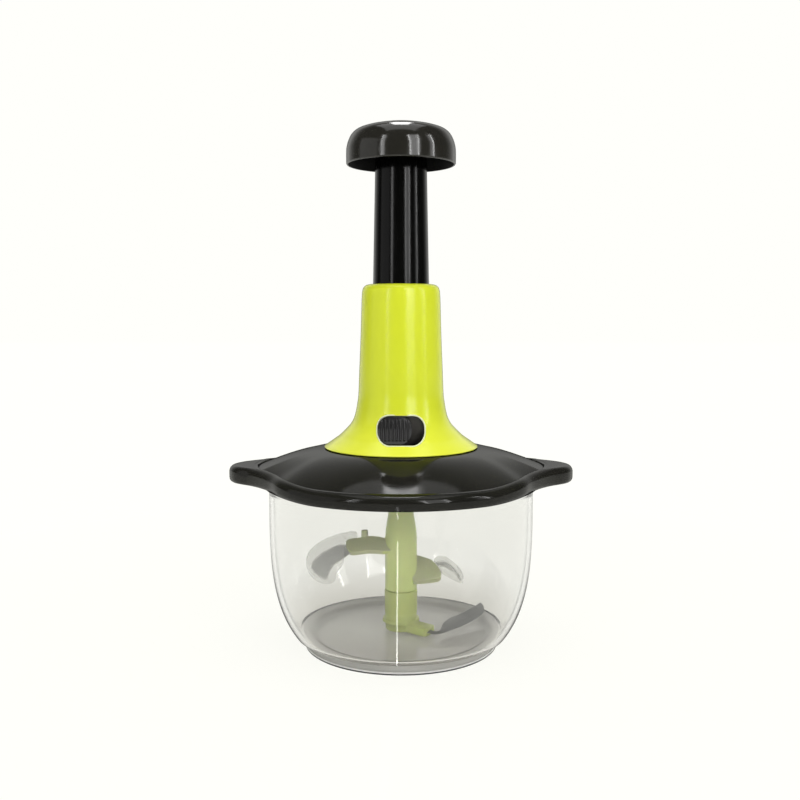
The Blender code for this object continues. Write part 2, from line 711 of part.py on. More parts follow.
def blade_slot(name, shares, height, turn, cutters):
    outline = grown(sized(shares), FIT_GAP)
    slot = flat(name, outline, BLADE_THICKNESS + FIT_GAP * 2, cutters)
    return laid(slot, height, turn)


def build_sleeve(parts, cutters, material):
    bore = BUSH_OUTER + FIT_GAP
    spigot_top = SLEEVE_TOP + SPIGOT_RISE
    profile = [
        (SPIGOT_RADIUS, spigot_top),
        (SPIGOT_RADIUS, SLEEVE_TOP),
        (SLEEVE_TOP_RADIUS, SLEEVE_TOP),
        (SLEEVE_BOTTOM_RADIUS, SLEEVE_BOTTOM),
        (bore, SLEEVE_BOTTOM),
        (bore, spigot_top),
    ]
    sleeve = turned("rotor_sleeve", profile, BODY_STEPS, parts, material, True)
    wall_middle = (bore + SLEEVE_BOTTOM_RADIUS) / 2
    reach = OUTLINE_SIZE * LOW_ARM_REACH_SHARE
    arm = box(
        "low_arm",
        (wall_middle, -LOW_ARM_WIDTH / 2, LOW_ARM_BOTTOM),
        (reach, LOW_ARM_WIDTH / 2, LOW_ARM_TOP),
        cutters,
    )
    middle = (wall_middle + reach) / 2
    arm.location = (
        middle * math.cos(LOW_ARM_YAW),
        middle * math.sin(LOW_ARM_YAW),
        (LOW_ARM_BOTTOM + LOW_ARM_TOP) / 2,
    )
    arm.rotation_euler = (0, 0, LOW_ARM_YAW)
    cut(sleeve, arm, "UNION")
    cut(sleeve, blade_slot("low_slot", LOW_BLADE_SHARES, LOW_PLANE_HEIGHT, LOW_TURN, cutters))
    return sleeve


def build_bush(parts, material):
    top = SLEEVE_TOP + SPIGOT_RISE - FIT_GAP
    inner = PIN_RADIUS + FIT_GAP
    return tube("rotor_bush", inner, BUSH_OUTER, SLEEVE_BOTTOM, top, SMALL_STEPS, parts, material)


def build_hub(parts, cutters, material):
    bottom = SLEEVE_TOP + FIT_GAP
    pocket = SPIGOT_RADIUS + FIT_GAP
    pocket_top = SLEEVE_TOP + SPIGOT_RISE + FIT_GAP
    nose_top = DECK_HEIGHT + HUB_NOSE_TOP
    straight_top = DECK_HEIGHT + HUB_STRAIGHT_TOP
    hex_top = DECK_HEIGHT + HEX_TOP
    profile = [
        (0, nose_top),
        (HUB_NOSE_RADIUS, nose_top),
        (HUB_NECK_RADIUS, DECK_HEIGHT + HUB_NECK_HEIGHT),
        (HUB_RADIUS, straight_top),
        (HUB_RADIUS, bottom),
        (pocket, bottom),
        (pocket, pocket_top),
        (0, pocket_top),
    ]
    hub = turned("rotor_hub", profile, BODY_STEPS, parts, material)
    hexagon = rod("hub_hexagon", HEX_RADIUS, straight_top, hex_top, (0, 0), 6, cutters)
    cut(hub, hexagon, "UNION")
    upper = flat("upper_arm", sized(UPPER_ARM_SHARES), ARM_THICKNESS, cutters)
    cut(hub, laid(upper, UPPER_PLANE_HEIGHT, UPPER_TURN), "UNION")
    middle = flat("middle_arm", sized(MIDDLE_ARM_SHARES), ARM_THICKNESS, cutters)
    cut(hub, laid(middle, MIDDLE_PLANE_HEIGHT, MIDDLE_TURN), "UNION")
    peg_place = sized([PEG_SHARES])[0]
    peg = rod("peg", PEG_RADIUS, UPPER_PLANE_HEIGHT, PEG_TOP, peg_place, SMALL_STEPS, cutters)
    cut(hub, peg, "UNION")
    cut(hub, blade_slot("upper_slot", UPPER_BLADE_SHARES, UPPER_PLANE_HEIGHT, UPPER_TURN, cutters))
    cut(hub, blade_slot("middle_slot", MIDDLE_BLADE_SHARES, MIDDLE_PLANE_HEIGHT, MIDDLE_TURN, cutters))
    return hub


def build_blade(name, shares, height, turn, parts, material):
    return laid(flat(name, sized(shares), BLADE_THICKNESS, parts, material), height, turn)


def build_guard(name, shares, blade_shares, height, turn, parts, cutters, material):
    guard = laid(flat(name, sized(shares), GUARD_THICKNESS, parts, material), height, turn)
    cut(guard, blade_slot(name + "_slot", blade_shares, height, turn, cutters))
    return guard


def wing_outline(inset=0):
    """The lid's plan: a circle with a pointed wing at each side."""
    quarter = [
        around(LID_RIM_RADIUS + LID_WING_LENGTH * out, math.degrees(LID_WING_HALF_ANGLE * turn))
        for turn, out in LID_WING_SHARES
    ]
    count = 14
    rest = math.pi / 2 - LID_WING_HALF_ANGLE
    arc = [
        around(LID_RIM_RADIUS, math.degrees(LID_WING_HALF_ANGLE + rest * step / count))
        for step in range(1, count + 1)
    ]
    upper_right = quarter[::-1] + arc
    right = [(x, -y) for x, y in reversed(upper_right)][:-1] + upper_right
    left = [(-x, y) for x, y in reversed(right)][1:-1]
    outline = right + left
    if inset:
        return grown(outline, -inset)
    return outline


def eye_outline():
    """The recess: two wide arcs that meet in a rounded point towards each wing."""
    reach = LID_RECESS_REACH
    deep = LID_RECESS_HALF_DEPTH
    radius = (reach**2 + deep**2) / (2 * deep)
    shift = radius - deep
    half = math.asin(reach / radius)
    tip = LID_RECESS_TIP_RADIUS / radius
    count = 30
    upper = []
    for step in range(count + 1):
        angle = (half - tip) * (1 - 2 * step / count)
        upper.append((radius * math.sin(angle), radius * math.cos(angle) - shift))
    tip_point = (reach - LID_RECESS_TIP_RADIUS / 3, 0)
    lower = [(x, -y) for x, y in reversed(upper)]
    return [tip_point] + upper + [(-tip_point[0], 0)] + lower


def risen(along, inner, outer):
    """A height that rises from the lid's middle towards its wings, given both ends."""
    share = (abs(along) - LID_WING_START) / (LID_WING_FULL - LID_WING_START)
    share = min(max(share, 0), 1)
    return inner + (outer - inner) * share * share * (3 - 2 * share)


def side_outline(top_drop=0, bottom_drop=0):
    """The lid's rim seen from the front, rising a little towards the wings."""
    top = []
    bottom = []
    span = LID_WING_FULL - LID_WING_START
    count = 6
    for step in range(count + 1):
        along = LID_WING_START + span * step / count
        top.append((along, risen(along, LID_RIM_TOP, LID_WING_TOP) - top_drop))
        bottom.append((along, risen(along, LID_RIM_BOTTOM, LID_WING_BOTTOM) - bottom_drop))
    far = LID_WING_REACH + LID_WALL
    right = bottom + [(far, bottom[-1][1]), (far, top[-1][1])] + top[::-1]
    left = [(-x, z) for x, z in reversed(right)]
    return right + left


def build_crown(name, drop, bottom, collection):
    """The crown's body: lofted from the collar's round seat out to the recess's edge."""
    edge = grown(eye_outline(), LID_CROWN_OVERLAP)
    mesh = bpy.data.meshes.new(name)
    shape = bmesh.new()
    rings = []
    for out, down in LID_CROWN_SHARES:
        ring = []
        for x, y in edge:
            seat = Vector((x, y)).normalized() * (LID_CROWN_RADIUS - drop)
            place = seat.lerp(Vector((x, y)), out)
            fall = LID_CROWN_TOP - risen(x, LID_RIM_TOP, LID_WING_TOP) + LID_RECESS_DEPTH
            ring.append(shape.verts.new((*place, LID_CROWN_TOP - fall * down - drop)))
        rings.append(ring)
    rings.append([shape.verts.new((x, y, bottom)) for x, y in edge])
    for upper, lower in zip(rings, rings[1:]):
        for index in range(len(edge)):
            shape.faces.new((upper[index - 1], upper[index], lower[index], lower[index - 1]))
    shape.faces.new(rings[0])
    shape.faces.new(rings[-1][::-1])
    bmesh.ops.recalc_face_normals(shape, faces=shape.faces)
    shape.to_mesh(mesh)
    shape.free()
    return add_object(name, mesh, collection)


def build_lid(parts, cutters, material):
    middle = (LID_RIM_BOTTOM + LID_WING_TOP) / 2
    tall = (LID_WING_TOP - LID_RIM_BOTTOM) * 2
    lid = flat("lid", wing_outline(), tall, parts, material)
    lid.location = (0, 0, middle)
    side = flat("lid_side", side_outline(), LID_WING_REACH * 2, cutters)
    side.rotation_euler = (math.radians(90), 0, 0)
    cut(lid, side, "INTERSECT")
    foot = (LID_CEILING + LID_RIM_TOP - LID_RECESS_DEPTH) / 2
    recess = flat("lid_recess", eye_outline(), tall, cutters)
    recess.location = (0, 0, foot + LID_CROWN_OVERLAP + tall / 2)
    cut(lid, recess)
    crown = build_crown("lid_crown", 0, foot, cutters)
    cut(lid, crown, "UNION")
    below = LID_RIM_BOTTOM - LID_WALL
    hollow = build_crown("lid_hollow", LID_WALL, below, cutters)
    throat = rod(
        "lid_throat", LID_PLUG_INNER - LID_WALL, below, LID_CROWN_TOP, (0, 0), WIDE_STEPS, cutters
    )
    cut(hollow, throat, "INTERSECT")
    cut(lid, hollow)
    cavity = rod("lid_cavity", LID_SKIRT_INNER, below, LID_CEILING, (0, 0), WIDE_STEPS, cutters)
    cut(lid, cavity)
    pocket = flat("wing_pocket", wing_outline(LID_WING_WALL), tall * 2, cutters)
    pocket_side = flat("pocket_side", side_outline(LID_WALL, tall), LID_WING_REACH * 2, cutters)
    pocket_side.rotation_euler = (math.radians(90), 0, 0)
    cut(pocket, pocket_side, "INTERSECT")
    core = rod(
        "pocket_core",
        LID_SKIRT_INNER + LID_WALL / 2,
        LID_CEILING - tall * 2,
        LID_CROWN_TOP,
        (0, 0),
        WIDE_STEPS,
        cutters,
    )
    cut(pocket, core)
    cut(lid, pocket)
    boss = tube(
        "lid_boss",
        LID_BOSS_INNER,
        LID_BOSS_OUTER,
        LID_BOSS_BOTTOM,
        LID_CROWN_TOP - LID_WALL / 2,
        BODY_STEPS,
        cutters,
    )
    cut(lid, boss, "UNION")
    plug = tube(
        "lid_plug",
        LID_PLUG_INNER,
        LID_PLUG_OUTER,
        LID_PLUG_BOTTOM,
        foot,
        WIDE_STEPS,
        cutters,
    )
    cut(lid, plug, "UNION")
    bore = rod(
        "lid_bore", LID_BORE, LID_BOSS_BOTTOM, LID_CROWN_TOP + LID_WALL, (0, 0), BODY_STEPS, cutters
    )
    cut(lid, bore)
    for number, degrees in enumerate(COLLAR_SCREW_ANGLES, 1):
        hole = rod(
            f"lid_screw_hole_{number}",
            COLLAR_SCREW_RADIUS + FIT_GAP,
            LID_CROWN_TOP - LID_WALL * 2,
            LID_CROWN_TOP + LID_WALL,
            around(COLLAR_BOSS_CIRCLE, degrees),
            SMALL_STEPS,
            cutters,
        )
        cut(lid, hole)
    return lid


def build_seal(parts, material):
    return tube(
        "lid_seal",
        SEAL_INNER,
        SEAL_OUTER,
        FIT_GAP,
        LID_CEILING - FIT_GAP,
        WIDE_STEPS,
        parts,
        material,
    )


def collar_outside():
    return [
        (COLLAR_NECK_RADIUS + COLLAR_FLARE * out, COLLAR_BOTTOM + COLLAR_HEIGHT * up)
        for out, up in COLLAR_SHARES
    ]


def collar_inside():
    inside = []
    for radius, height in reversed(collar_outside()):
        if height < COLLAR_TOP - COLLAR_LIP - COLLAR_WALL:
            inside.append((radius - COLLAR_WALL, height))
    return inside


def build_collar(parts, cutters, material):
    lip_bottom = COLLAR_TOP - COLLAR_LIP
    inside = collar_inside()
    profile = collar_outside() + inside
    profile += [
        (inside[-1][0], lip_bottom),
        (COLLAR_LIP_BORE, lip_bottom),
        (COLLAR_LIP_BORE, COLLAR_TOP),
    ]
    collar = turned("collar", profile, WIDE_STEPS, parts, material, True)
    for number, degrees in enumerate(COLLAR_SCREW_ANGLES, 1):
        place = around(COLLAR_BOSS_CIRCLE, degrees)
        boss = rod(
            f"collar_boss_{number}",
            COLLAR_BOSS_RADIUS,
            COLLAR_BOTTOM,
            COLLAR_BOSS_TOP,
            place,
            SMALL_STEPS,
            cutters,
        )
        cut(collar, boss, "UNION")
        pad_bottom = FIT_GAP * 2 + TUBE_FLANGE_HEIGHT
        pad = box(
            f"collar_pad_{number}",
            (COLLAR_PAD_INNER, -COLLAR_PAD_WIDTH / 2, pad_bottom),
            (COLLAR_BOSS_CIRCLE, COLLAR_PAD_WIDTH / 2, COLLAR_PAD_TOP),
            cutters,
        )
        pad_middle = (COLLAR_PAD_INNER + COLLAR_BOSS_CIRCLE) / 2
        pad.location = (*around(pad_middle, degrees), (pad_bottom + COLLAR_PAD_TOP) / 2)
        pad.rotation_euler = (0, 0, math.radians(degrees))
        cut(collar, pad, "UNION")
        hole = rod(
            f"collar_hole_{number}",
            COLLAR_SCREW_RADIUS + FIT_GAP,
            COLLAR_BOTTOM - COLLAR_WALL,
            COLLAR_SCREW_TOP + FIT_GAP,
            place,
            SMALL_STEPS,
            cutters,
        )
        cut(collar, hole)
    window = flat("window", stadium(WINDOW_WIDTH, WINDOW_HEIGHT, WINDOW_CORNER), WINDOW_DEPTH, cutters)
    window.rotation_euler = (math.radians(90), 0, 0)
    window.location = (0, -TUBE_OUTER - WINDOW_DEPTH / 2, WINDOW_CENTRE)
    cut(collar, window)
    return collar


def build_collar_screw(number, degrees, parts, material):
    head_top = -LID_WALL - FIT_GAP
    profile = [
        (0, COLLAR_SCREW_TOP),
        (COLLAR_SCREW_RADIUS, COLLAR_SCREW_TOP),
        (COLLAR_SCREW_RADIUS, head_top),
        (COLLAR_SCREW_HEAD_RADIUS, head_top),
        (COLLAR_SCREW_HEAD_RADIUS, head_top - COLLAR_SCREW_HEAD_HEIGHT),
        (0, head_top - COLLAR_SCREW_HEAD_HEIGHT),
    ]
    screw = turned(f"collar_screw_{number}", profile, SMALL_STEPS, parts, material)
    screw.location = (*around(COLLAR_BOSS_CIRCLE, degrees), 0)
    return screw


def tongue_slot(name, cutters):
    left = TONGUE_CENTRE - TONGUE_WIDTH / 2 - TONGUE_SLOT_GAP
    right = TONGUE_CENTRE + TONGUE_WIDTH / 2 + BUTTON_TRAVEL + TONGUE_SLOT_GAP
    return box(
        name,
        (left, -TRACK_FRONT - TONGUE_SLOT_GAP, TONGUE_BOTTOM - TONGUE_SLOT_GAP),
        (right, -TONGUE_TIP + BUTTON_TRAVEL, TONGUE_TOP + TONGUE_SLOT_GAP),
        cutters,
    )


def build_tube(parts, cutters, material):
    bottom = FIT_GAP
    flange_top = bottom + TUBE_FLANGE_HEIGHT
    top = COLLAR_TOP - COLLAR_LIP - FIT_GAP
    profile = [
        (TUBE_OUTER, top),
        (TUBE_OUTER, flange_top),
        (TUBE_FLANGE_RADIUS, flange_top),
        (TUBE_FLANGE_RADIUS, bottom),
        (TUBE_INNER, bottom),
        (TUBE_INNER, top),
    ]
    guide = turned("guide_tube", profile, BODY_STEPS, parts, material, True)
    cut(guide, tongue_slot("tube_slot", cutters))
    return guide


def build_guide_bush(parts, material):
    return tube(
        "guide_bush",
        COLUMN_WAIST_RADIUS + SLIDE_GAP,
        TUBE_INNER - FIT_GAP,
        STOP_RING_TOP + FIT_GAP,
        COLLAR_TOP - COLLAR_LIP - FIT_GAP,
        BODY_STEPS,
        parts,
        material,
    )


def build_track(parts, cutters, material):
    track = box(
        "lock_track",
        (-TRACK_WIDTH / 2, -TRACK_FRONT, TRACK_BOTTOM),
        (TRACK_WIDTH / 2, -TRACK_BACK, TRACK_TOP),
        parts,
        material,
    )
    inside = [(radius - FIT_GAP, height) for radius, height in reversed(collar_inside())]
    lowest = inside[-1]
    profile = [(0, inside[0][1])] + inside + [(0, lowest[1])]
    cut(track, turned("track_limit", profile, WIDE_STEPS, cutters), "INTERSECT")
    cut(track, tongue_slot("track_slot", cutters))
    return track


def button_front(rise):
    """The button's front edge: the collar's outside, moved in or out, as (depth, height)."""
    low = WINDOW_CENTRE - WINDOW_HEIGHT
    high = WINDOW_CENTRE + WINDOW_HEIGHT
    return [
        (radius - BUTTON_INSET + rise, height)
        for radius, height in collar_outside()
        if low < height < high
    ]


def button_slice(name, left, right, rise, collection, material=None):
    back = TRACK_FRONT + FIT_GAP
    front = button_front(rise)
    outline = [(back, front[0][1])] + front + [(back, front[-1][1])]
    piece = flat(name, outline, right - left, collection, material)
    piece.rotation_euler = (math.radians(90), 0, math.radians(-90))
    piece.location = ((left + right) / 2, 0, 0)
    return piece


def build_button(parts, cutters, material):
    left = BUTTON_LEFT
    right = left + BUTTON_WIDTH
    button = button_slice("lock_button", left, right, 0, parts, material)
    pitch = BUTTON_WIDTH / (BUTTON_RIB_COUNT + 1)
    for number in range(1, BUTTON_RIB_COUNT + 1):
        middle = left + pitch * number
        rib = button_slice(
            f"button_rib_{number}",
            middle - BUTTON_RIB_WIDTH / 2,
            middle + BUTTON_RIB_WIDTH / 2,
            BUTTON_RIB_RISE,
            cutters,
        )
        cut(button, rib, "UNION")
    height = WINDOW_HEIGHT - BUTTON_SIDE_GAP * 2
    outline = stadium(BUTTON_WIDTH, height, WINDOW_CORNER - BUTTON_SIDE_GAP)
    rounded = flat("button_limit", outline, WINDOW_DEPTH, cutters)
    rounded.rotation_euler = (math.radians(90), 0, 0)
    rounded.location = ((left + right) / 2, -TUBE_OUTER - WINDOW_DEPTH / 2, WINDOW_CENTRE)
    cut(button, rounded, "INTERSECT")
    tongue = box(
        "tongue",
        (TONGUE_CENTRE - TONGUE_WIDTH / 2, -TRACK_FRONT - BUTTON_INSET, TONGUE_BOTTOM),
        (TONGUE_CENTRE + TONGUE_WIDTH / 2, -TONGUE_TIP, TONGUE_TOP),
        cutters,
    )
    cut(button, tongue, "UNION")
    pocket = rod(
        "ball_pocket", BALL_RADIUS + FIT_GAP, 0, BALL_RADIUS * 4, (0, 0), SMALL_STEPS, cutters
    )
    pocket.rotation_euler = (math.radians(90), 0, 0)
    pocket.location = (BALL_X, -TRACK_FRONT, BALL_HEIGHT)
    cut(button, pocket)
    return button


def build_ball(parts, material):
    mesh = bpy.data.meshes.new("lock_ball")
    shape = bmesh.new()
    bmesh.ops.create_uvsphere(shape, u_segments=12, v_segments=8, radius=BALL_RADIUS)
    shape.to_mesh(mesh)
    shape.free()
    ball = add_object("lock_ball", mesh, parts, material)
    ball.location = (BALL_X, -TRACK_FRONT - FIT_GAP - BALL_RADIUS, BALL_HEIGHT)
    return ball


def build_column(parts, cutters, material):
    profile = [
        (COLUMN_TOP_RADIUS, COLUMN_TOP),
        (COLUMN_UPPER_RADIUS, COLUMN_UPPER_HEIGHT),
        (COLUMN_WAIST_RADIUS, COLUMN_WAIST_HEIGHT),
        (COLUMN_WAIST_RADIUS, SPIGOT_SHOULDER),
        (SPIGOT_OUTER, SPIGOT_SHOULDER),
        (SPIGOT_OUTER, COLUMN_BOTTOM),
        (COLUMN_RECESS_RADIUS, COLUMN_BOTTOM),
        (COLUMN_RECESS_RADIUS, COLUMN_RECESS_TOP),
        (COLUMN_BORE, COLUMN_RECESS_TOP),
        (COLUMN_BORE, COLUMN_TOP),
    ]
    column = turned("column", profile, BODY_STEPS, parts, material, True)
    cross = rod(
        "column_pin_hole",
        NUT_PIN_RADIUS + FIT_GAP,
        0,
        COLUMN_WAIST_RADIUS * 4,
        (0, 0),
        SMALL_STEPS,
        cutters,
    )
    cross.rotation_euler = (0, math.radians(90), 0)
    cross.location = (-COLUMN_WAIST_RADIUS * 2, 0, NUT_PIN_HEIGHT)
    cut(column, cross)
    return column


def build_stop_ring(parts, material):
    return tube(
        "stop_ring",
        SPIGOT_OUTER + FIT_GAP,
        STOP_RING_OUTER,
        COLUMN_BOTTOM,
        STOP_RING_TOP,
        BODY_STEPS,
        parts,
        material,
    )


def twisted(name, width, depth, corner, bottom, top, collection, material=None, steps=TWIST_STEPS):
    """A flat bar with cut corners, drawn up along Z and turned steadily as it rises."""
    mesh = bpy.data.meshes.new(name)
    shape = bmesh.new()
    half_width = width / 2
    half_depth = depth / 2
    outline = [
        (half_width, half_depth - corner),
        (half_width - corner, half_depth),
        (corner - half_width, half_depth),
        (-half_width, half_depth - corner),
        (-half_width, corner - half_depth),
        (corner - half_width, -half_depth),
        (half_width - corner, -half_depth),
        (half_width, corner - half_depth),
    ]
    ring = [shape.verts.new((across, along, bottom)) for across, along in outline]
    edges = [shape.edges.new(pair) for pair in zip(ring, ring[1:] + ring[:1])]
    turn_about_axis(shape, ring, -math.tau * bottom / SPINDLE_LEAD)
    rise = (top - bottom) / steps
    for _ in range(steps):
        raised = bmesh.ops.extrude_edge_only(shape, edges=edges)["geom"]
        edges = [piece for piece in raised if isinstance(piece, bmesh.types.BMEdge)]
        ring = [piece for piece in raised if isinstance(piece, bmesh.types.BMVert)]
        bmesh.ops.translate(shape, verts=ring, vec=(0, 0, rise))
        turn_about_axis(shape, ring, -math.tau * rise / SPINDLE_LEAD)
    open_edges = [edge for edge in shape.edges if edge.is_boundary]
    bmesh.ops.holes_fill(shape, edges=open_edges, sides=len(outline))
    bmesh.ops.recalc_face_normals(shape, faces=shape.faces)
    shape.to_mesh(mesh)
    shape.free()
    return add_object(name, mesh, collection, material)


def turn_about_axis(shape, corners, angle):
    bmesh.ops.rotate(shape, verts=corners, cent=(0, 0, 0), matrix=Matrix.Rotation(angle, 3, "Z"))


def build_nut(parts, cutters, material):
    flange_top = COLUMN_BOTTOM - FIT_GAP
    flange_bottom = flange_top - NUT_FLANGE_THICKNESS
    profile = [
        (0, NUT_BODY_TOP),
        (NUT_BODY_RADIUS, NUT_BODY_TOP),
        (NUT_BODY_RADIUS, flange_top),
        (NUT_FLANGE_RADIUS, flange_top),
        (NUT_FLANGE_RADIUS, flange_bottom),
        (0, flange_bottom),
    ]
    nut = turned("drive_nut", profile, BODY_STEPS, parts, material)
    screw_hole = twisted(
        "nut_hole",
        SPINDLE_WIDTH + SLIDE_GAP * 2,
        SPINDLE_DEPTH + SLIDE_GAP * 2,
        SPINDLE_CORNER,
        flange_bottom - NUT_FLANGE_THICKNESS,
        NUT_BODY_TOP + NUT_FLANGE_THICKNESS,
        cutters,
        steps=TWIST_STEPS // 5,
    )
    cut(nut, screw_hole)
    for side, name in ((-1, "left"), (1, "right")):
        seat = rod(
            f"nut_pin_seat_{name}",
            NUT_PIN_RADIUS + FIT_GAP,
            0,
            NUT_PIN_OUTER,
            (0, 0),
            SMALL_STEPS,
            cutters,
        )
        seat.rotation_euler = (0, math.radians(90) * side, 0)
        seat.location = ((NUT_PIN_INNER - FIT_GAP) * side, 0, NUT_PIN_HEIGHT)
        cut(nut, seat)
    return nut


def build_nut_pin(name, side, parts, material):
    pin = rod(name, NUT_PIN_RADIUS, NUT_PIN_INNER, NUT_PIN_OUTER, (0, 0), SMALL_STEPS, parts, material)
    pin.rotation_euler = (0, math.radians(90) * side, 0)
    pin.location = (NUT_PIN_INNER * side, 0, NUT_PIN_HEIGHT)
    return pin


def build_knob(parts, cutters, material):
    rim_inner = KNOB_RADIUS - KNOB_WALL
    bore = COLUMN_TOP_RADIUS + FIT_GAP
    profile = [(KNOB_RADIUS * out, KNOB_BOTTOM + KNOB_HEIGHT * up) for out, up in KNOB_SHARES]
    profile += [
        (KNOB_RADIUS - KNOB_RIM_ROUND, KNOB_BOTTOM),
        (rim_inner, KNOB_BOTTOM),
        (rim_inner, KNOB_HOLLOW_TOP - KNOB_HOLLOW_CORNER),
        (rim_inner - KNOB_HOLLOW_CORNER, KNOB_HOLLOW_TOP),
        (KNOB_BOSS_OUTER, KNOB_HOLLOW_TOP),
        (KNOB_BOSS_OUTER, KNOB_BOSS_BOTTOM),
        (bore + FIT_GAP, KNOB_BOSS_BOTTOM),
        (bore, COLUMN_TOP + FIT_GAP),
        (0, COLUMN_TOP + FIT_GAP),
    ]
    knob = turned("knob", profile, WIDE_STEPS, parts, material)
    hole = rod(
        "knob_screw_hole",
        KNOB_SCREW_RADIUS + FIT_GAP,
        COLUMN_TOP - FIT_GAP,
        KNOB_SCREW_TOP + FIT_GAP,
        (0, 0),
        SMALL_STEPS,
        cutters,
    )
    cut(knob, hole)
    return knob


def build_plug(parts, material):
    return tube(
        "knob_plug",
        KNOB_SCREW_RADIUS + FIT_GAP,
        COLUMN_BORE - FIT_GAP,
        PLUG_BOTTOM,
        COLUMN_TOP,
        BODY_STEPS,
        parts,
        material,
    )


def build_knob_screw(parts, material):
    head_top = PLUG_BOTTOM - FIT_GAP
    profile = [
        (0, KNOB_SCREW_TOP),
        (KNOB_SCREW_RADIUS, KNOB_SCREW_TOP),
        (KNOB_SCREW_RADIUS, head_top),
        (KNOB_SCREW_HEAD_RADIUS, head_top),
        (KNOB_SCREW_HEAD_RADIUS, head_top - KNOB_SCREW_HEAD_HEIGHT),
        (0, head_top - KNOB_SCREW_HEAD_HEIGHT),
    ]
    return turned("knob_screw", profile, SMALL_STEPS, parts, material)


def build_spindle(parts, cutters, material):
    spindle = twisted(
        "drive_spindle",
        SPINDLE_WIDTH,
        SPINDLE_DEPTH,
        SPINDLE_CORNER,
        SPINDLE_TWIST_BOTTOM,
        SPINDLE_TOP,
        parts,
        material,
    )
    foot = rod(
        "spindle_foot",
        SPINDLE_FOOT_RADIUS,
        SPINDLE_FOOT_BOTTOM,
        SPINDLE_TWIST_BOTTOM + SPINDLE_DEPTH,
        (0, 0),
        SMALL_STEPS,
        cutters,
    )
    cut(spindle, foot, "UNION")
    return spindle


def build_socket(parts, cutters, material):
    clip_bottom = FIT_GAP * 2 + WASHER_THICKNESS
    clip_top = clip_bottom + CLIP_THICKNESS
    groove = SOCKET_NECK_RADIUS - CLIP_GROOVE_DEPTH
    profile = [
        (0, SOCKET_NECK_TOP),
        (SOCKET_NECK_RADIUS, SOCKET_NECK_TOP),
        (SOCKET_NECK_RADIUS, clip_top + FIT_GAP),
        (groove, clip_top + FIT_GAP),
        (groove, clip_bottom - FIT_GAP),
        (SOCKET_NECK_RADIUS, clip_bottom - FIT_GAP),
        (SOCKET_NECK_RADIUS, SOCKET_TOP),
        (SOCKET_RADIUS, SOCKET_TOP),
        (SOCKET_RADIUS, SOCKET_BOTTOM),
        (0, SOCKET_BOTTOM),
    ]
    socket = turned("drive_socket", profile, BODY_STEPS, parts, material)
    hexagon = rod(
        "socket_hexagon",
        HEX_RADIUS + HEX_GAP,
        SOCKET_BOTTOM - HEX_GAP,
        HEX_TOP + HEX_GAP,
        (0, 0),
        6,
        cutters,
    )
    cut(socket, hexagon)
    bore = rod(
        "socket_bore",
        SPINDLE_FOOT_RADIUS + FIT_GAP,
        SPINDLE_FOOT_BOTTOM - FIT_GAP,
        SOCKET_NECK_TOP + SPINDLE_FOOT_RADIUS,
        (0, 0),
        SMALL_STEPS,
        cutters,
    )
    cut(socket, bore)
    return socket


def build_washer(parts, material):
    return tube(
        "thrust_washer",
        SOCKET_NECK_RADIUS + FIT_GAP,
        WASHER_OUTER,
        FIT_GAP,
        FIT_GAP + WASHER_THICKNESS,
        BODY_STEPS,
        parts,
        material,
    )


def build_clip(parts, material):
    bottom = FIT_GAP * 2 + WASHER_THICKNESS
    return tube(
        "socket_clip",
        SOCKET_NECK_RADIUS - CLIP_GROOVE_DEPTH + FIT_GAP,
        CLIP_OUTER,
        bottom,
        bottom + CLIP_THICKNESS,
        BODY_STEPS,
        parts,
        material,
    )


def build_bearing(parts, material):
    return tube(
        "lid_bearing",
        SOCKET_RADIUS + FIT_GAP,
        LID_BOSS_INNER - FIT_GAP,
        LID_BOSS_BOTTOM,
        LID_BOSS_BOTTOM + BEARING_THICKNESS,
        BODY_STEPS,
        parts,
        material,
    )


def build_seat(parts, material):
    return tube(
        "spring_seat",
        SEAT_INNER,
        SEAT_OUTER,
        FIT_GAP,
        FIT_GAP + SEAT_THICKNESS,
        BODY_STEPS,
        parts,
        material,
    )


def build_spring(parts, material):
    bottom = FIT_GAP * 2 + SEAT_THICKNESS + SPRING_WIRE / 2
    top = COLUMN_BOTTOM - NUT_FLANGE_THICKNESS - FIT_GAP * 2 - SPRING_WIRE / 2
    count = int(SPRING_TURNS * SPRING_POINTS_PER_TURN)
    curve = bpy.data.curves.new("return_spring", "CURVE")
    curve.dimensions = "3D"
    curve.bevel_depth = SPRING_WIRE / 2
    curve.bevel_resolution = 1
    curve.use_fill_caps = True
    spline = curve.splines.new("POLY")
    spline.points.add(count)
    for index, point in enumerate(spline.points):
        share = index / count
        angle = math.tau * SPRING_TURNS * share
        height = bottom + (top - bottom) * share
        point.co = (SPRING_RADIUS * math.cos(angle), SPRING_RADIUS * math.sin(angle), height, 1)
    drawn = bpy.data.objects.new("return_spring_wire", curve)
    parts.objects.link(drawn)
    graph = bpy.context.evaluated_depsgraph_get()
    mesh = bpy.data.meshes.new_from_object(drawn.evaluated_get(graph))
    bpy.data.objects.remove(drawn)
    bpy.data.curves.remove(curve)
    shape = bmesh.new()
    shape.from_mesh(mesh)
    bmesh.ops.remove_doubles(shape, verts=shape.verts, dist=WELD_DISTANCE)
    bmesh.ops.recalc_face_normals(shape, faces=shape.faces)
    shape.to_mesh(mesh)
    shape.free()
    mesh.materials.clear()
    spring = add_object("return_spring", mesh, parts, material)
    pitch = (top - bottom) / SPRING_TURNS
    print(f"return spring: least gap between coils {(pitch - SPRING_WIRE) * 1000:.2f} mm")
    return spring


def make_carrier(name, parts, children, height=0, parent=None):
    """An empty on the main axis that carries the pieces which move together."""
    carrier = bpy.data.objects.new(name, None)
    parts.objects.link(carrier)
    carrier.location = (0, 0, height)
    carrier.parent = parent
    for child in children:
        child.parent = carrier
    return carrier


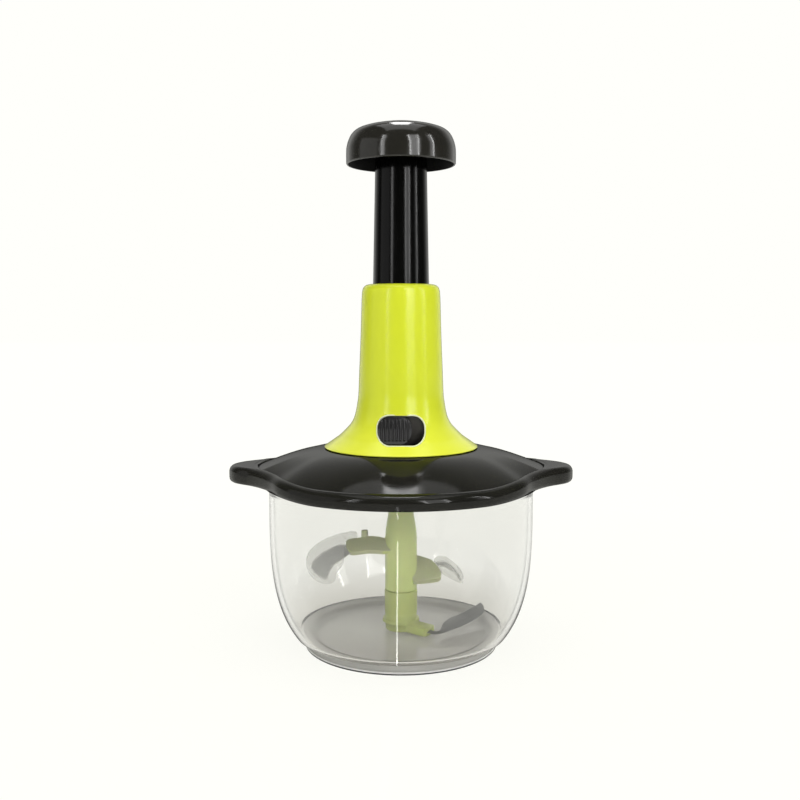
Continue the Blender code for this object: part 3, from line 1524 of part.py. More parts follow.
def main():
    clear_scene()
    parts = make_collection("manual_food_chopper")
    cutters = make_collection("cutters")
    olive = olive_material()
    steel = steel_material()
    blade = blade_material()
    guard = guard_material()
    black = black_material()
    moulded = moulded_black_material()
    nylon = nylon_material()
    brass = brass_material()

    build_bowl(parts, cutters, clear_bowl_material())
    build_foot_ring(parts, foot_material())
    build_pin(parts, steel)

    rotor = [
        build_sleeve(parts, cutters, olive),
        build_bush(parts, brass),
        build_hub(parts, cutters, olive),
        build_blade("blade_upper", UPPER_BLADE_SHARES, UPPER_PLANE_HEIGHT, UPPER_TURN, parts, blade),
        build_blade("blade_middle", MIDDLE_BLADE_SHARES, MIDDLE_PLANE_HEIGHT, MIDDLE_TURN, parts, blade),
        build_blade("blade_lowest", LOW_BLADE_SHARES, LOW_PLANE_HEIGHT, LOW_TURN, parts, blade),
        build_guard(
            "guard_upper", UPPER_GUARD_SHARES, UPPER_BLADE_SHARES, UPPER_PLANE_HEIGHT, UPPER_TURN,
            parts, cutters, guard,
        ),
        build_guard(
            "guard_middle", MIDDLE_GUARD_SHARES, MIDDLE_BLADE_SHARES, MIDDLE_PLANE_HEIGHT, MIDDLE_TURN,
            parts, cutters, guard,
        ),
    ]
    make_carrier("rotor_axis", parts, rotor)

    lid = [
        build_lid(parts, cutters, lid_material()),
        build_seal(parts, seal_material()),
        build_bearing(parts, brass),
    ]
    lid_axis = make_carrier("lid_axis", parts, lid, BOWL_RIM_HEIGHT)

    upper = [
        build_collar(parts, cutters, lime_material()),
        build_tube(parts, cutters, moulded),
        build_guide_bush(parts, moulded),
        build_track(parts, cutters, moulded),
        build_washer(parts, nylon),
        build_seat(parts, steel),
        build_spring(parts, steel),
    ]
    for number, degrees in enumerate(COLLAR_SCREW_ANGLES, 1):
        upper.append(build_collar_screw(number, degrees, parts, steel))
    deck = make_carrier("lid_deck", parts, upper, LID_CROWN_TOP, lid_axis)

    button = [build_button(parts, cutters, button_material()), build_ball(parts, steel)]
    make_carrier("lock_axis", parts, button, parent=deck)

    plunger = [
        build_knob(parts, cutters, knob_material()),
        build_plug(parts, nylon),
        build_knob_screw(parts, steel),
        build_column(parts, cutters, black),
        build_stop_ring(parts, steel),
        build_nut(parts, cutters, nylon),
        build_nut_pin("nut_pin_left", -1, parts, steel),
        build_nut_pin("nut_pin_right", 1, parts, steel),
    ]
    make_carrier("plunger_axis", parts, plunger, parent=deck)

    spindle = [
        build_spindle(parts, cutters, steel),
        build_socket(parts, cutters, nylon),
        build_clip(parts, steel),
    ]
    make_carrier("spindle_axis", parts, spindle, parent=deck)

    for made in parts.objects:
        if made.type == "MESH":
            smooth_round(made)


main()
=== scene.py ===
"""Dresses the press chopper's frame: clear bowl, smoky lid, lime collar, rotor and blades."""

import math

import bmesh
import bpy
from mathutils import Matrix, Vector


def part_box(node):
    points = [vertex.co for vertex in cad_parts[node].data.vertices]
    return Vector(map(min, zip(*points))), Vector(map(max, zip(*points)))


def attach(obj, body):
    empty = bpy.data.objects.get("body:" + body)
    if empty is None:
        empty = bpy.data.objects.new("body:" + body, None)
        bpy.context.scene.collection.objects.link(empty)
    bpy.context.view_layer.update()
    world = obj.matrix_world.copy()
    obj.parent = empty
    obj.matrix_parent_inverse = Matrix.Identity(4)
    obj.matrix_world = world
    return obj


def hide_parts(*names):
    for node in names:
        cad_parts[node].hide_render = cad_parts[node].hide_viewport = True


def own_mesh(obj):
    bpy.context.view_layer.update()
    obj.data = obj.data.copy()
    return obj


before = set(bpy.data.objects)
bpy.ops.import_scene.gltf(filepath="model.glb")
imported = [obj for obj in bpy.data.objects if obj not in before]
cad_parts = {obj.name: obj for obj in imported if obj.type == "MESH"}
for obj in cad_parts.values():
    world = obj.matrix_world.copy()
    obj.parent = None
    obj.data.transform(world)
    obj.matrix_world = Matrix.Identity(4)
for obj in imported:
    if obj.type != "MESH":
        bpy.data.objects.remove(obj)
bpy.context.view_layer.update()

bl_info = {
    "name": "Press chopper dressing",
    "version": (1, 0, 0),
    "blender": (4, 5, 0),
    "location": "View3D > Sidebar > Chopper",
    "description": "Detailed pieces and finishes for a press-down food chopper",
    "category": "Object",
}

# Sizes in metres; the outlines lie in the blades' planes, in steps of OUTLINE_SIZE
OUTLINE_SIZE = 0.0100
BOWL_WIDEST_HEIGHT = 0.0806
BOWL_CURVE_DEPTH = 0.0922
BOWL_CURVE_POWER = 3.19
BOWL_RIM_HEIGHT = 0.0919
BOWL_RIM_RADIUS = 0.0746
BOWL_RIM_ROUND = 0.0008
BOWL_FLARE_START, BOWL_FLARE_END = 0.0868, 0.0915
BOWL_SIDE_ROWS = 60
BOWL_FLOOR_TOP = 0.0056
BOWL_FLOOR_BOTTOM = 0.0032
BOWL_FOOT_HEIGHT = 0.0068
BOWL_INSIDE_FOOT = 0.0092
FOOT_RADIUS = 0.0535
FOOT_PLUG_RADIUS = 0.0507
FIT_GAP = 0.0003
ARM_THICKNESS = 0.0034
ARM_BEYOND_POST = 0.0098
BLADE_THICKNESS = 0.0010
POCKET_THICKNESS = 0.0016
UPPER_PLANE = (0.0570, math.radians(-40), math.radians(180))
MIDDLE_PLANE = (0.0410, math.radians(40), 0)
LOW_PLANE = (0.0080, math.radians(7), math.radians(-75))
LOW_ARM_YAW = math.radians(-39.6)

UPPER_ARM = (
    (0.30, -0.09), (0.97, -0.09), (1.25, -0.17), (1.57, -0.22), (1.94, -0.20), (2.32, -0.10),
    (2.93, -0.01), (3.06, 0.14), (3.04, 0.44), (2.84, 0.90), (2.37, 0.83), (1.82, 0.74),
    (1.40, 0.76), (1.00, 0.80), (0.30, 0.80),
)
UPPER_BLADE_OUTER = (
    (2.70, 0.27), (3.09, 0.30), (3.37, 0.30), (3.61, 0.39), (3.88, 0.56), (4.28, 0.81), (4.66, 1.23),
    (4.83, 1.52), (4.85, 1.80), (4.68, 2.05), (4.32, 2.41), (4.11, 2.52),
)
UPPER_BLADE_INNER = (
    (2.60, 0.76), (2.87, 0.91), (3.08, 1.11), (3.35, 1.31), (3.69, 1.60), (3.87, 1.93), (3.94, 2.17),
    (3.97, 2.42),
)
UPPER_GUARD = (
    (2.45, -0.53), (2.81, -0.56), (3.50, -0.36), (4.12, -0.08), (4.65, 0.30), (5.04, 0.77),
    (5.18, 1.23), (5.15, 1.68), (4.98, 2.13), (4.65, 2.49), (4.23, 2.72), (3.82, 2.74),
    (3.56, 2.58), (3.52, 2.29), (3.46, 1.97), (3.21, 1.56), (3.13, 1.30), (3.13, -0.14),
    (2.80, -0.27), (2.45, -0.29),
)
MIDDLE_ARM = (
    (0.62, 0.80), (0.91, 0.83), (1.30, 0.68), (1.69, 0.52), (1.88, 0.30), (2.04, 0.07),
    (2.18, -0.19), (2.24, -0.42), (2.22, -0.62), (2.08, -0.74), (1.60, -0.83), (0.88, -0.91),
    (0.62, -0.91),
)
MIDDLE_BLADE_OUTER = (
    (1.70, 0.28), (2.02, 0.42), (2.36, 0.50), (2.64, 0.36), (2.90, 0.10), (3.10, -0.15), (3.24, -0.45),
    (3.31, -0.70),
)
MIDDLE_BLADE_INNER = (
    (1.78, 0.12), (2.10, 0.24), (2.40, 0.20), (2.68, 0.03), (2.96, -0.22), (3.17, -0.49), (3.29, -0.71),
)
MIDDLE_GUARD = (
    (1.80, 0.60), (2.15, 0.77), (2.54, 0.73), (2.87, 0.42), (3.14, 0.15), (3.37, -0.22),
    (3.47, -0.59), (3.43, -0.91), (2.99, -0.68), (2.67, -0.49), (2.45, -0.32), (2.29, -0.20),
    (2.14, 0.10), (1.98, 0.33),
)
LOW_BLADE_OUTER = (
    (1.60, 0.92), (2.06, 1.10), (2.31, 1.35), (2.34, 1.70), (2.15, 2.33), (1.92, 3.04), (1.54, 3.82),
    (1.16, 4.28), (0.74, 4.71), (0.16, 4.97), (-0.42, 5.14), (-0.84, 5.20),
)
LOW_BLADE_INNER = (
    (1.36, 1.22), (1.86, 1.38), (2.02, 1.60), (1.76, 1.80), (1.41, 1.98), (0.98, 2.22), (0.68, 2.51),
    (0.39, 2.91), (0.28, 3.30), (0.12, 3.60), (-0.08, 3.91), (-0.30, 4.29), (-0.55, 4.66), (-0.82, 5.04),
)
# a blade's section: how far across it, and what share of half its thickness
BLADE_SECTION = (
    (0.0, 0.15), (0.03, 0.22), (0.34, 0.92), (0.37, 1.0), (0.94, 1.0), (1.0, 0.75),
    (1.0, -0.75), (0.94, -1.0), (0.37, -1.0), (0.34, -0.92), (0.03, -0.22), (0.0, -0.15),
)

# A wing's outline in shares of its reach, and the steps down the lid's crown
LID_WING = (
    (0.66, 0.475), (0.72, 0.365), (0.775, 0.287), (0.826, 0.226), (0.872, 0.180),
    (0.918, 0.142), (0.958, 0.103), (0.985, 0.058), (1.0, 0.0),
)
WING_START, WING_END = math.radians(45), math.radians(60)
LID_CROWN = (
    0, 0.01, 0.03, 0.06, 0.10, 0.15, 0.20, 0.26, 0.32, 0.38, 0.44, 0.50, 0.56, 0.62, 0.68, 0.74, 0.80,
    0.86, 0.91, 0.95,
)
CROWN_POWER = 1.5
DECK_HEIGHT = 0.1098
CROWN_RADIUS = 0.0418
LID_WALL = 0.0024
LID_STEP = 0.0010
LID_SKIRT_RADIUS = 0.0756
LID_CEILING = 0.0935
LID_DIRECTIONS = 288
LID_CLOSER_AT_WINGS = 0.72
LID_LOWEST = 0.0890
WING_LIFT = 0.0020
WING_LIFT_START, WING_LIFT_END = 0.042, 0.080
RIM_NARROWEST = 0.0052
RIM_INNER_WIDTH = 0.0024
RIM_OUTER_WIDTH = 0.0036
RECESS_REACH, RECESS_DEPTH, RECESS_SOFTNESS = 0.0792, 0.0715, 0.06
# offsets from the recess's edge, and from the rim's outer edge inward
RECESS_LIP = (
    (-0.0001, -0.0008), (0, -0.0005), (0.0001, 0), (0.0004, 0.00025), (0.0008, 0.0003),
    (0.0013, 0.00022), (0.0018, 0.00004),
)
RIM_SHOULDER = (
    (RIM_OUTER_WIDTH, 0.00005), (0.0026, 0.00025), (0.0017, 0.0007), (0.0009, 0.0014), (0.0003, 0.0024),
    (0, 0.0036),
)
RIM_FOOT = ((0, 0.0024), (0.0002, 0.0012), (0.0007, 0.0004), (0.0013, 0))
SEAL_INSIDE = 0.0677
SEAL_GROOVE = (
    (0.0720, LID_CEILING), (0.0716, LID_CEILING - 0.0004), (0.0716, 0.0897), (0.0712, 0.0890),
    (0.0702, 0.0890), (0.0698, 0.0897), (0.0698, 0.0928), (0.0692, LID_CEILING),
    (0.0680, LID_CEILING), (SEAL_INSIDE, LID_CEILING + 0.0003),
)
LID_HUB = (
    (0.0125, 0.1074), (0.0119, 0.1070), (0.0119, 0.1003), (0.0116, 0.1000), (0.0103, 0.1000),
    (0.0100, 0.1003), (0.0100, 0.1070), (0.0096, 0.1074), (0.0076, 0.1074), (0.0072, 0.1078),
)
COLLAR_OUTSIDE = (
    (0.0170, 0.1990), (0.0188, 0.1986), (0.0201, 0.1977), (0.0209, 0.1963), (0.0213, 0.1937),
    (0.0217, 0.1834), (0.0220, 0.1731), (0.0229, 0.1514), (0.0235, 0.1382), (0.0241, 0.1340),
    (0.0247, 0.1305), (0.0259, 0.1261), (0.0277, 0.1228), (0.0296, 0.1206), (0.0324, 0.1178),
    (0.0341, 0.1162), (0.0365, 0.1145), (0.0392, 0.1126), (0.0421, 0.1106),
)
LOCK_HEIGHT = 0.1223
WINDOW_BACK = 0.0186
WINDOW_DEPTH = 0.0300
WINDOW_CORNER = 0.0066
LOCK_LEFT = -0.0122
LOCK_WIDTH = 0.0178
LOCK_BACK = -0.0207
LOCK_HALF_HEIGHT = 0.0073
LOCK_SUNK = 0.0013
RIB_HALF_HEIGHT = 0.0052
KNOB_OUTSIDE = (
    (0, 0.2822), (0.0030, 0.2824), (0.0060, 0.2830), (0.0088, 0.2835), (0.0112, 0.2837),
    (0.0145, 0.2835), (0.0180, 0.2828), (0.0212, 0.28195), (0.0242, 0.28075), (0.0266, 0.27865),
    (0.0284, 0.2752), (0.0293, 0.2718), (0.0295, 0.2690), (0.0295, 0.2640),
)
SCREW_CIRCLE = 0.0300
SCREW_HEAD = 0.1053
UPRIGHT = Matrix.Rotation(math.radians(90), 4, "X")

# Where the lamps and the panels that only gloss shows stand, and what they face
AIM = (0, 0, 0.18)
RIGHT, LEFT, SIDE = (0.60, -1.15, 0.70), (-0.80, -1.05, 0.70), (1.20, -0.53, 0.70)
STRIP_NEAR, STRIP_FAR = 0.0570, 0.3600

# The photograph's width, the camera's focal length and how far the horizon lies above the middle, in pixels
PHOTO_WIDTH_PX = 800
FOCAL_PX = 950
HORIZON_RISE_PX = 84
SENSOR_MM = 36
CAMERA_PLACE = (-0.00055, -0.521, 0.1818)


# Finishes

def add_node(tree, kind, *places, operation=None, **named):
    """Adds a node; each input, by place or by name, is a linked output or a plain value."""
    node = tree.nodes.new(kind)
    if operation:
        node.operation = operation
    for key, value in [*enumerate(places), *named.items()]:
        socket = node.inputs[key.replace("_", " ") if isinstance(key, str) else key]
        if isinstance(value, bpy.types.NodeSocket):
            tree.links.new(value, socket)
        else:
            socket.default_value = value
    return node


class Graph:
    """A material's node tree with short ways to add and join nodes."""

    def __init__(self, name):
        self.material = bpy.data.materials.new(name)
        self.material.use_nodes = True
        self.tree = self.material.node_tree
        self.shader = self.tree.nodes["Principled BSDF"]
        self.skin = self.shader.outputs["BSDF"]
        self.place = self.add("ShaderNodeTexCoord").outputs["Object"]

    def add(self, kind, *places, **named):
        return add_node(self.tree, kind, *places, **named)

    def feed(self, name, source):
        self.tree.links.new(source, self.shader.inputs[name])

    def set(self, **values):
        for name, value in values.items():
            self.shader.inputs[name.replace("_", " ")].default_value = value

    def noise(self, scale, detail, stretch=None, roughness=0.5):
        place = self.place
        if stretch:
            place = self.add("ShaderNodeMapping", Scale=stretch, Vector=place).outputs["Vector"]
        return self.add(
            "ShaderNodeTexNoise", Scale=scale, Detail=detail, Roughness=roughness, Vector=place
        ).outputs["Fac"]

    def spread(self, source, low, high, start=0.3, end=0.7):
        return self.add(
            "ShaderNodeMapRange", Value=source, From_Min=start, From_Max=end, To_Min=low, To_Max=high
        ).outputs["Result"]

    def by_height(self, *limits):
        """A value that changes between two heights above the ground."""
        return self.spread(self.add("ShaderNodeSeparateXYZ", self.place).outputs["Z"], *limits)

    def by_turn(self, *limits):
        """A value that changes where the surface turns away."""
        return self.spread(self.add("ShaderNodeLayerWeight", Blend=0.5).outputs["Facing"], *limits)

    def ray(self, name):
        return self.add("ShaderNodeLightPath").outputs[name]

    def times(self, first, second):
        return self.add("ShaderNodeMath", first, second, operation="MULTIPLY").outputs[0]

    def blend(self, factor, first, second):
        """A mix of two colours, of which the first may be linked."""
        node = self.add("ShaderNodeMix", factor)
        node.data_type = "RGBA"
        # the colour pair of a Mix node sits at fixed places
        node.inputs[7].default_value = (*second, 1)
        if isinstance(first, bpy.types.NodeSocket):
            self.tree.links.new(first, node.inputs[6])
        else:
            node.inputs[6].default_value = (*first, 1)
        return node.outputs[2]

    def clouds(self, scale, colour, tint):
        """Two near colours in soft clouds."""
        return self.blend(self.spread(self.noise(scale, 2), 0, 1), colour, tint)

    def surface(self, colour, worn, low, high, grain, depth, strength):
        """Gives the shader its colour, a gloss worn between two limits and a fine skin."""
        self.feed("Base Color", colour)
        self.feed("Roughness", self.spread(worn, low, high))
        self.feed(
            "Normal",
            self.add("ShaderNodeBump", Strength=strength, Distance=depth, Height=grain).outputs["Normal"],
        )

    def mixed(self, share, first, second):
        """Shows a mix of two shaders, and returns it."""
        mix = self.add("ShaderNodeMixShader", share, first, second).outputs["Shader"]
        self.tree.links.new(mix, self.tree.nodes["Material Output"].inputs["Surface"])
        return mix

    def matt(self, colour):
        return self.add("ShaderNodeBsdfDiffuse", Color=(*colour, 1)).outputs["BSDF"]

    def clear(self, colour):
        return self.add("ShaderNodeBsdfTransparent", Color=(*colour, 1)).outputs["BSDF"]

    def painted_edge_shade(self, colour, start, most):
        """A thin painted shade: a dark matt mixed in where the surface turns away, for the dark outline of a
        thick moulded edge.
        """
        line = self.by_turn(0, most, start, start + 0.85 * (1 - start))
        return self.mixed(line, self.skin, self.matt(colour))


def plastic(name, colour, tint, roughness, grain=0.00002, grain_scale=900, edge=None, **extra):
    """Moulded plastic: two near colours in soft clouds, worn gloss and a fine skin; an edge colour adds
    painted shade where the surface turns away.
    """
    graph = Graph(name)
    graph.surface(
        graph.clouds(38, colour, tint), graph.noise(160, 4), roughness * 0.85, roughness * 1.2,
        graph.noise(grain_scale, 3), grain, 0.5,
    )
    graph.set(**extra)
    # painted shade: a dark matt where the surface turns away
    if edge:
        graph.painted_edge_shade(edge, 0.72, 1.0)
    return graph.material


def painted_band_rubber(name, colour, tint, roughness):
    """Soft grey rubber with a painted highlight as a pale band near the ground and a painted contact shadow
    as a dark band at the sole.
    """
    graph = Graph(name)
    # painted highlight: a pale band up to 1.5 mm above the ground
    cloud = graph.blend(
        graph.by_height(1, 0, 0.0015, 0.0018), graph.clouds(38, colour, tint), (0.86, 0.86, 0.83)
    )
    # painted contact shadow: near black below 0.8 mm
    cloud = graph.blend(graph.by_height(1, 0, 0.0008, 0.0010), cloud, (0.04, 0.04, 0.04))
    graph.surface(
        cloud, graph.noise(160, 4), roughness * 0.85, roughness * 1.2, graph.noise(1400, 3), 0.00004, 0.5
    )
    return graph.material


def clear_bowl(name, colour, tint, edge, shade, floor, outline):
    """Clear moulded plastic with painted shade where it is seen edge on, greyer and less clear low down and
    on its floor.
    """
    graph = Graph(name)
    graph.set(Transmission_Weight=1.0, IOR=1.45)
    # painted shade: the edge colour where the surface turns away
    cloud = graph.blend(graph.by_turn(0, 1, 0.86, 1.0), graph.clouds(14, colour, tint), edge)
    # greyer towards the bottom
    haze = graph.by_height(1, 0, 0.0080, 0.0290)
    cloud = graph.blend(haze, cloud, [part * 0.88 for part in floor])
    # the grey, less clear floor reaches up the ledge inside, but not to the outer wall
    flat = graph.add("ShaderNodeVectorMath", graph.place, (1, 1, 0), operation="MULTIPLY")
    away = graph.add("ShaderNodeVectorMath", flat.outputs["Vector"], operation="LENGTH").outputs["Value"]
    low = graph.times(graph.by_height(1, 0, 0.0086, 0.0098), graph.spread(away, 1, 0, 0.0553, 0.0557))
    graph.feed("Transmission Weight", graph.spread(low, 1, 0.35, 0, 1))
    graph.surface(
        graph.blend(low, cloud, floor), graph.noise(60, 3), 0.014, 0.032, graph.noise(26, 2), 0.00002, 0.12
    )
    # painted shade: a dark matt mixed in where the surface turns away, most of all low down, for the dark
    # outline of a thick clear edge
    line = graph.times(graph.by_turn(0, outline, 0.80, 0.92), graph.by_height(1.0, 0.30, 0.0250, 0.0550))
    body = graph.mixed(line, graph.skin, graph.matt((0.05, 0.05, 0.05)))
    graph.mixed(graph.ray("Is Shadow Ray"), body, graph.clear(shade))
    return graph.material


def film(name, colour, tint, clearness, edge_clearness):
    """Thin clear plastic with a milky skin, which shows more where the surface turns away; the whiter edges
    are partly a painted highlight.
    """
    graph = Graph(name)
    graph.surface(
        graph.clouds(60, colour, tint), graph.noise(120, 3), 0.08, 0.16, graph.noise(70, 2), 0.00003, 0.2
    )
    # more milky skin where the surface turns away: partly thicker film seen edge on, partly a painted
    # highlight
    share = graph.by_turn(clearness, edge_clearness, 0.60, 0.95)
    graph.mixed(share, graph.skin, graph.clear((0.98, 0.98, 0.97)))
    return graph.material


def lime_shell(name, colour, tint, flare_highlight, roughness):
    """Glossy lime plastic with a painted highlight that lightens it where the collar flares out, and painted
    shade along edges that turn away.
    """
    graph = Graph(name)
    # painted highlight: a lighter colour low on the collar, on the flare that faces the light above
    cloud = graph.blend(graph.by_height(1, 0, 0.1140, 0.1340), graph.clouds(16, colour, tint), flare_highlight)
    graph.surface(
        cloud, graph.noise(120, 3), roughness * 0.9, roughness * 1.12, graph.noise(1500, 2), 0.000006, 0.4
    )
    # painted shade along edges that turn away
    graph.painted_edge_shade((0.20, 0.23, 0.03), 0.74, 0.85)
    return graph.material


def smoky(name, colour, tint, share, passing, roughness, gloss):
    """Dark smoky plastic with a deep gloss that shows a little of what is behind it, and painted shade along
    edges that turn away.
    """
    graph = Graph(name)
    graph.surface(
        graph.clouds(22, colour, tint), graph.noise(120, 4), roughness * 0.8, roughness * 1.5,
        graph.noise(40, 2), 0.00003, 0.12,
    )
    graph.set(IOR=gloss)
    # painted shade: near black matt where the surface turns away
    graph.mixed(share, graph.painted_edge_shade((0.004, 0.004, 0.004), 0.70, 1.0), graph.clear(passing))
    return graph.material


def steel(name, colour, roughness, along=(4, 4, 420), metal=1.0):
    """Brushed steel with fine lines and a faint cloud of handling marks."""
    graph = Graph(name)
    lines = graph.noise(6, 3, along, 0.6)
    light = [min(1, part * 1.25) for part in colour]
    graph.surface(
        graph.blend(graph.spread(lines, 0, 1), colour, light), graph.noise(90, 4),
        roughness * 0.8, roughness * 1.3, lines, 0.00002, 0.35,
    )
    graph.set(Metallic=metal)
    return graph.material


def make_finishes():
    lime_glow = {"IOR": 1.46, "Subsurface_Weight": 0.35, "Subsurface_Radius": (0.004, 0.005, 0.002)}
    ground = (60, 420, 4)
    return {
        # the bowl's edge colour and outline amount set its painted edge shade
        "bowl": clear_bowl(
            "clear_bowl_finish", (0.89, 0.89, 0.88), (0.91, 0.91, 0.90), (0.30, 0.30, 0.29),
            (0.93, 0.93, 0.92), (0.79, 0.775, 0.74), 0.9,
        ),
        "guard": film("clear_guard_finish", (0.90, 0.90, 0.88), (0.95, 0.95, 0.93), 0.74, 0.25),
        "seal": plastic("seal_finish", (0.66, 0.66, 0.63), (0.72, 0.72, 0.70), 0.5),
        # the foot's pale and dark bands are painted highlight and painted contact shadow
        "foot": painted_band_rubber("foot_finish", (0.47, 0.465, 0.435), (0.52, 0.515, 0.485), 0.55),
        "lid": smoky(
            "lid_finish", (0.016, 0.016, 0.013), (0.023, 0.022, 0.018), 0.24, (0.16, 0.17, 0.11), 0.10, 1.30
        ),
        "knob": smoky(
            "knob_finish", (0.016, 0.015, 0.012), (0.022, 0.021, 0.017), 0.0, (0.3, 0.3, 0.3), 0.12, 1.46
        ),
        # the column's edge colour is painted shade along its edges
        "column": plastic(
            "column_finish", (0.0012, 0.0012, 0.0012), (0.0025, 0.0025, 0.0023), 0.16, 0.00001, 500,
            (0.0012, 0.0012, 0.0012), Specular_IOR_Level=0.20,
        ),
        # the collar's lighter flare colour is a painted highlight
        "collar": lime_shell(
            "collar_finish", (0.735, 0.815, 0.022), (0.755, 0.84, 0.030), (0.90, 0.96, 0.05), 0.24
        ),
        # the pale bead's colour is a painted highlight along the window's edge
        "lip": plastic("window_lip_finish", (0.88, 0.93, 0.58), (0.92, 0.96, 0.66), 0.3),
        "button": plastic(
            "button_finish", (0.008, 0.008, 0.008), (0.014, 0.013, 0.013), 0.34, 0.00004, 1600
        ),
        "moulded": plastic("moulded_black_finish", (0.030, 0.026, 0.024), (0.045, 0.040, 0.036), 0.4),
        "olive": plastic("rotor_finish", (0.69, 0.78, 0.30), (0.75, 0.84, 0.34), 0.22, **lime_glow),
        # a darker copy of the rotor's olive: painted shade on the sleeve
        "sleeve": plastic("rotor_sleeve_finish", (0.52, 0.585, 0.19), (0.57, 0.635, 0.22), 0.22, **lime_glow),
        # a greyer, darker copy of the rotor's olive: painted shade on the arms
        "arm": plastic("rotor_arm_finish", (0.62, 0.645, 0.38), (0.67, 0.695, 0.42), 0.24, **lime_glow),
        "nylon": plastic("nylon_finish", (0.68, 0.68, 0.64), (0.74, 0.74, 0.71), 0.45),
        # copies of one steel: the lowest is darker, painted shade; the middle one is near white and not
        # metal, a painted reflection
        "blade": steel("blade_finish", (0.74, 0.74, 0.72), 0.42, ground, 0.35),
        "low_blade_shaded": steel("low_blade_finish", (0.21, 0.21, 0.205), 0.42, ground, 0.5),
        "middle_blade_lit": steel("middle_blade_finish", (0.97, 0.97, 0.95), 0.30, ground, 0.0),
        # painted shade: a blacker, duller finish inside the knob's hollow
        "hollow": plastic(
            "hollow_finish", (0.0012, 0.0012, 0.0012), (0.003, 0.003, 0.003), 0.6, Specular_IOR_Level=0.1
        ),
        "steel": steel("turned_steel_finish", (0.45, 0.45, 0.46), 0.24),
        "brass": steel("brass_finish", (0.62, 0.45, 0.18), 0.3),
    }


FINISHES = {}


# Shapes

def linked(name, mesh):
    """A new object in the scene, at the origin."""
    made = bpy.data.objects.new(name, mesh)
    bpy.context.scene.collection.objects.link(made)
    return made


def keep(name, mesh, finish, angle=38):
    """Adds a mesh as a piece with its finish, smooth but for its sharp edges."""
    piece = linked(name, mesh)
    mesh.materials.clear()
    mesh.materials.append(FINISHES[finish])
    mesh.shade_smooth()
    mesh.set_sharp_from_angle(angle=math.radians(angle))
    return piece


def settle(piece, body, slot, *nodes):
    """Says which body carries a piece and what it stands for; the slot is not used."""
    if nodes:
        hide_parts(*nodes)
    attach(piece, body)


def eased(value, start, end):
    share = min(max((value - start) / (end - start), 0), 1)
    return share * share * (3 - 2 * share)


def cubic(start, leave, end, arrive, t):
    """A smooth way from start to end, with the slopes that it leaves and arrives with."""
    return (
        start * (2 * t**3 - 3 * t**2 + 1) + leave * (t**3 - 2 * t**2 + t)
        + end * (3 * t**2 - 2 * t**3) + arrive * (t**3 - t**2)
    )


def flowing(points, per=4):
    """A smooth path through the points, with the given count of steps to each span."""
    points = [Vector(point) for point in points]
    path = []
    for index, (b, c) in enumerate(zip(points, points[1:])):
        a = points[index - 1] if index else b * 2 - c
        d = points[index + 2] if index + 2 < len(points) else c * 2 - b
        gaps = [max((q - p).length, 1e-9) ** 0.5 for p, q in ((a, b), (b, c), (c, d))]
        low = ((b - a) / gaps[0] - (c - a) / (gaps[0] + gaps[1]) + (c - b) / gaps[1]) * gaps[1]
        high = ((c - b) / gaps[1] - (d - b) / (gaps[1] + gaps[2]) + (d - c) / gaps[2]) * gaps[1]
        path += [cubic(b, low, c, high, step / per) for step in range(per)]
    return path + [points[-1]]


def rounded(points, radius, steps=4, closed=False):
    """The path with each corner turned into a small arc."""
    points = [Vector(point) for point in points]
    count = len(points)
    path = []
    for index, point in enumerate(points):
        if not (closed or 0 < index < count - 1):
            path.append(point)
            continue
        before = points[index - 1] - point
        after = points[(index + 1) % count] - point
        if before.length < 1e-9 or after.length < 1e-9:
            continue
        angle = before.angle(after)
        if angle > math.radians(172):
            path.append(point)
            continue
        reach = min(radius / math.tan(angle / 2), before.length * 0.45, after.length * 0.45)
        start = point + before.normalized() * reach
        end = point + after.normalized() * reach
        for step in range(steps + 1):
            t = step / steps
            path.append(start * (1 - t) ** 2 + point * 2 * t * (1 - t) + end * t**2)
    return path


def resampled(path, count):
    """The path at evenly spaced places along its length."""
    lengths = [0.0]
    for first, second in zip(path, path[1:]):
        lengths.append(lengths[-1] + (second - first).length)
    places = []
    index = 0
    for step in range(count):
        want = lengths[-1] * step / (count - 1)
        while index < len(path) - 2 and lengths[index + 1] < want:
            index += 1
        span = max(lengths[index + 1] - lengths[index], 1e-9)
        places.append(path[index].lerp(path[index + 1], (want - lengths[index]) / span))
    return places


def sized(points):
    return [Vector(point) * OUTLINE_SIZE for point in points]


def turns_left(points):
    """Whether a closed outline runs anticlockwise."""
    pairs = zip(points, [*points[1:], points[0]])
    return sum(first[0] * second[1] - second[0] * first[1] for first, second in pairs) > 0


def grown(points, gap):
    """The closed outline moved outward by the gap."""
    side = 1 if turns_left(points) else -1
    moved = []
    for index, point in enumerate(points):
        before = (point - points[index - 1]).normalized()
        after = (points[(index + 1) % len(points)] - point).normalized()
        first = Vector((before.y, -before.x)) * side
        second = Vector((after.y, -after.x)) * side
        middle = (first + second).normalized()
        moved.append(point + middle * gap / max(middle.dot(first), 0.5))
    return moved


def rectangle(left, low, right, high):
    return [Vector(corner) for corner in ((left, low), (right, low), (right, high), (left, high))]


def stadium(width, height, corner, steps=8):
    """A rectangle with round corners, about the origin."""
    points = []
    for quarter, (side, rise) in enumerate(((1, 1), (-1, 1), (-1, -1), (1, -1))):
        across, up = side * (width / 2 - corner), rise * (height / 2 - corner)
        for step in range(steps + 1):
            angle = math.pi / 2 * (quarter + step / steps)
            points.append(Vector((across + corner * math.cos(angle), up + corner * math.sin(angle))))
    return points


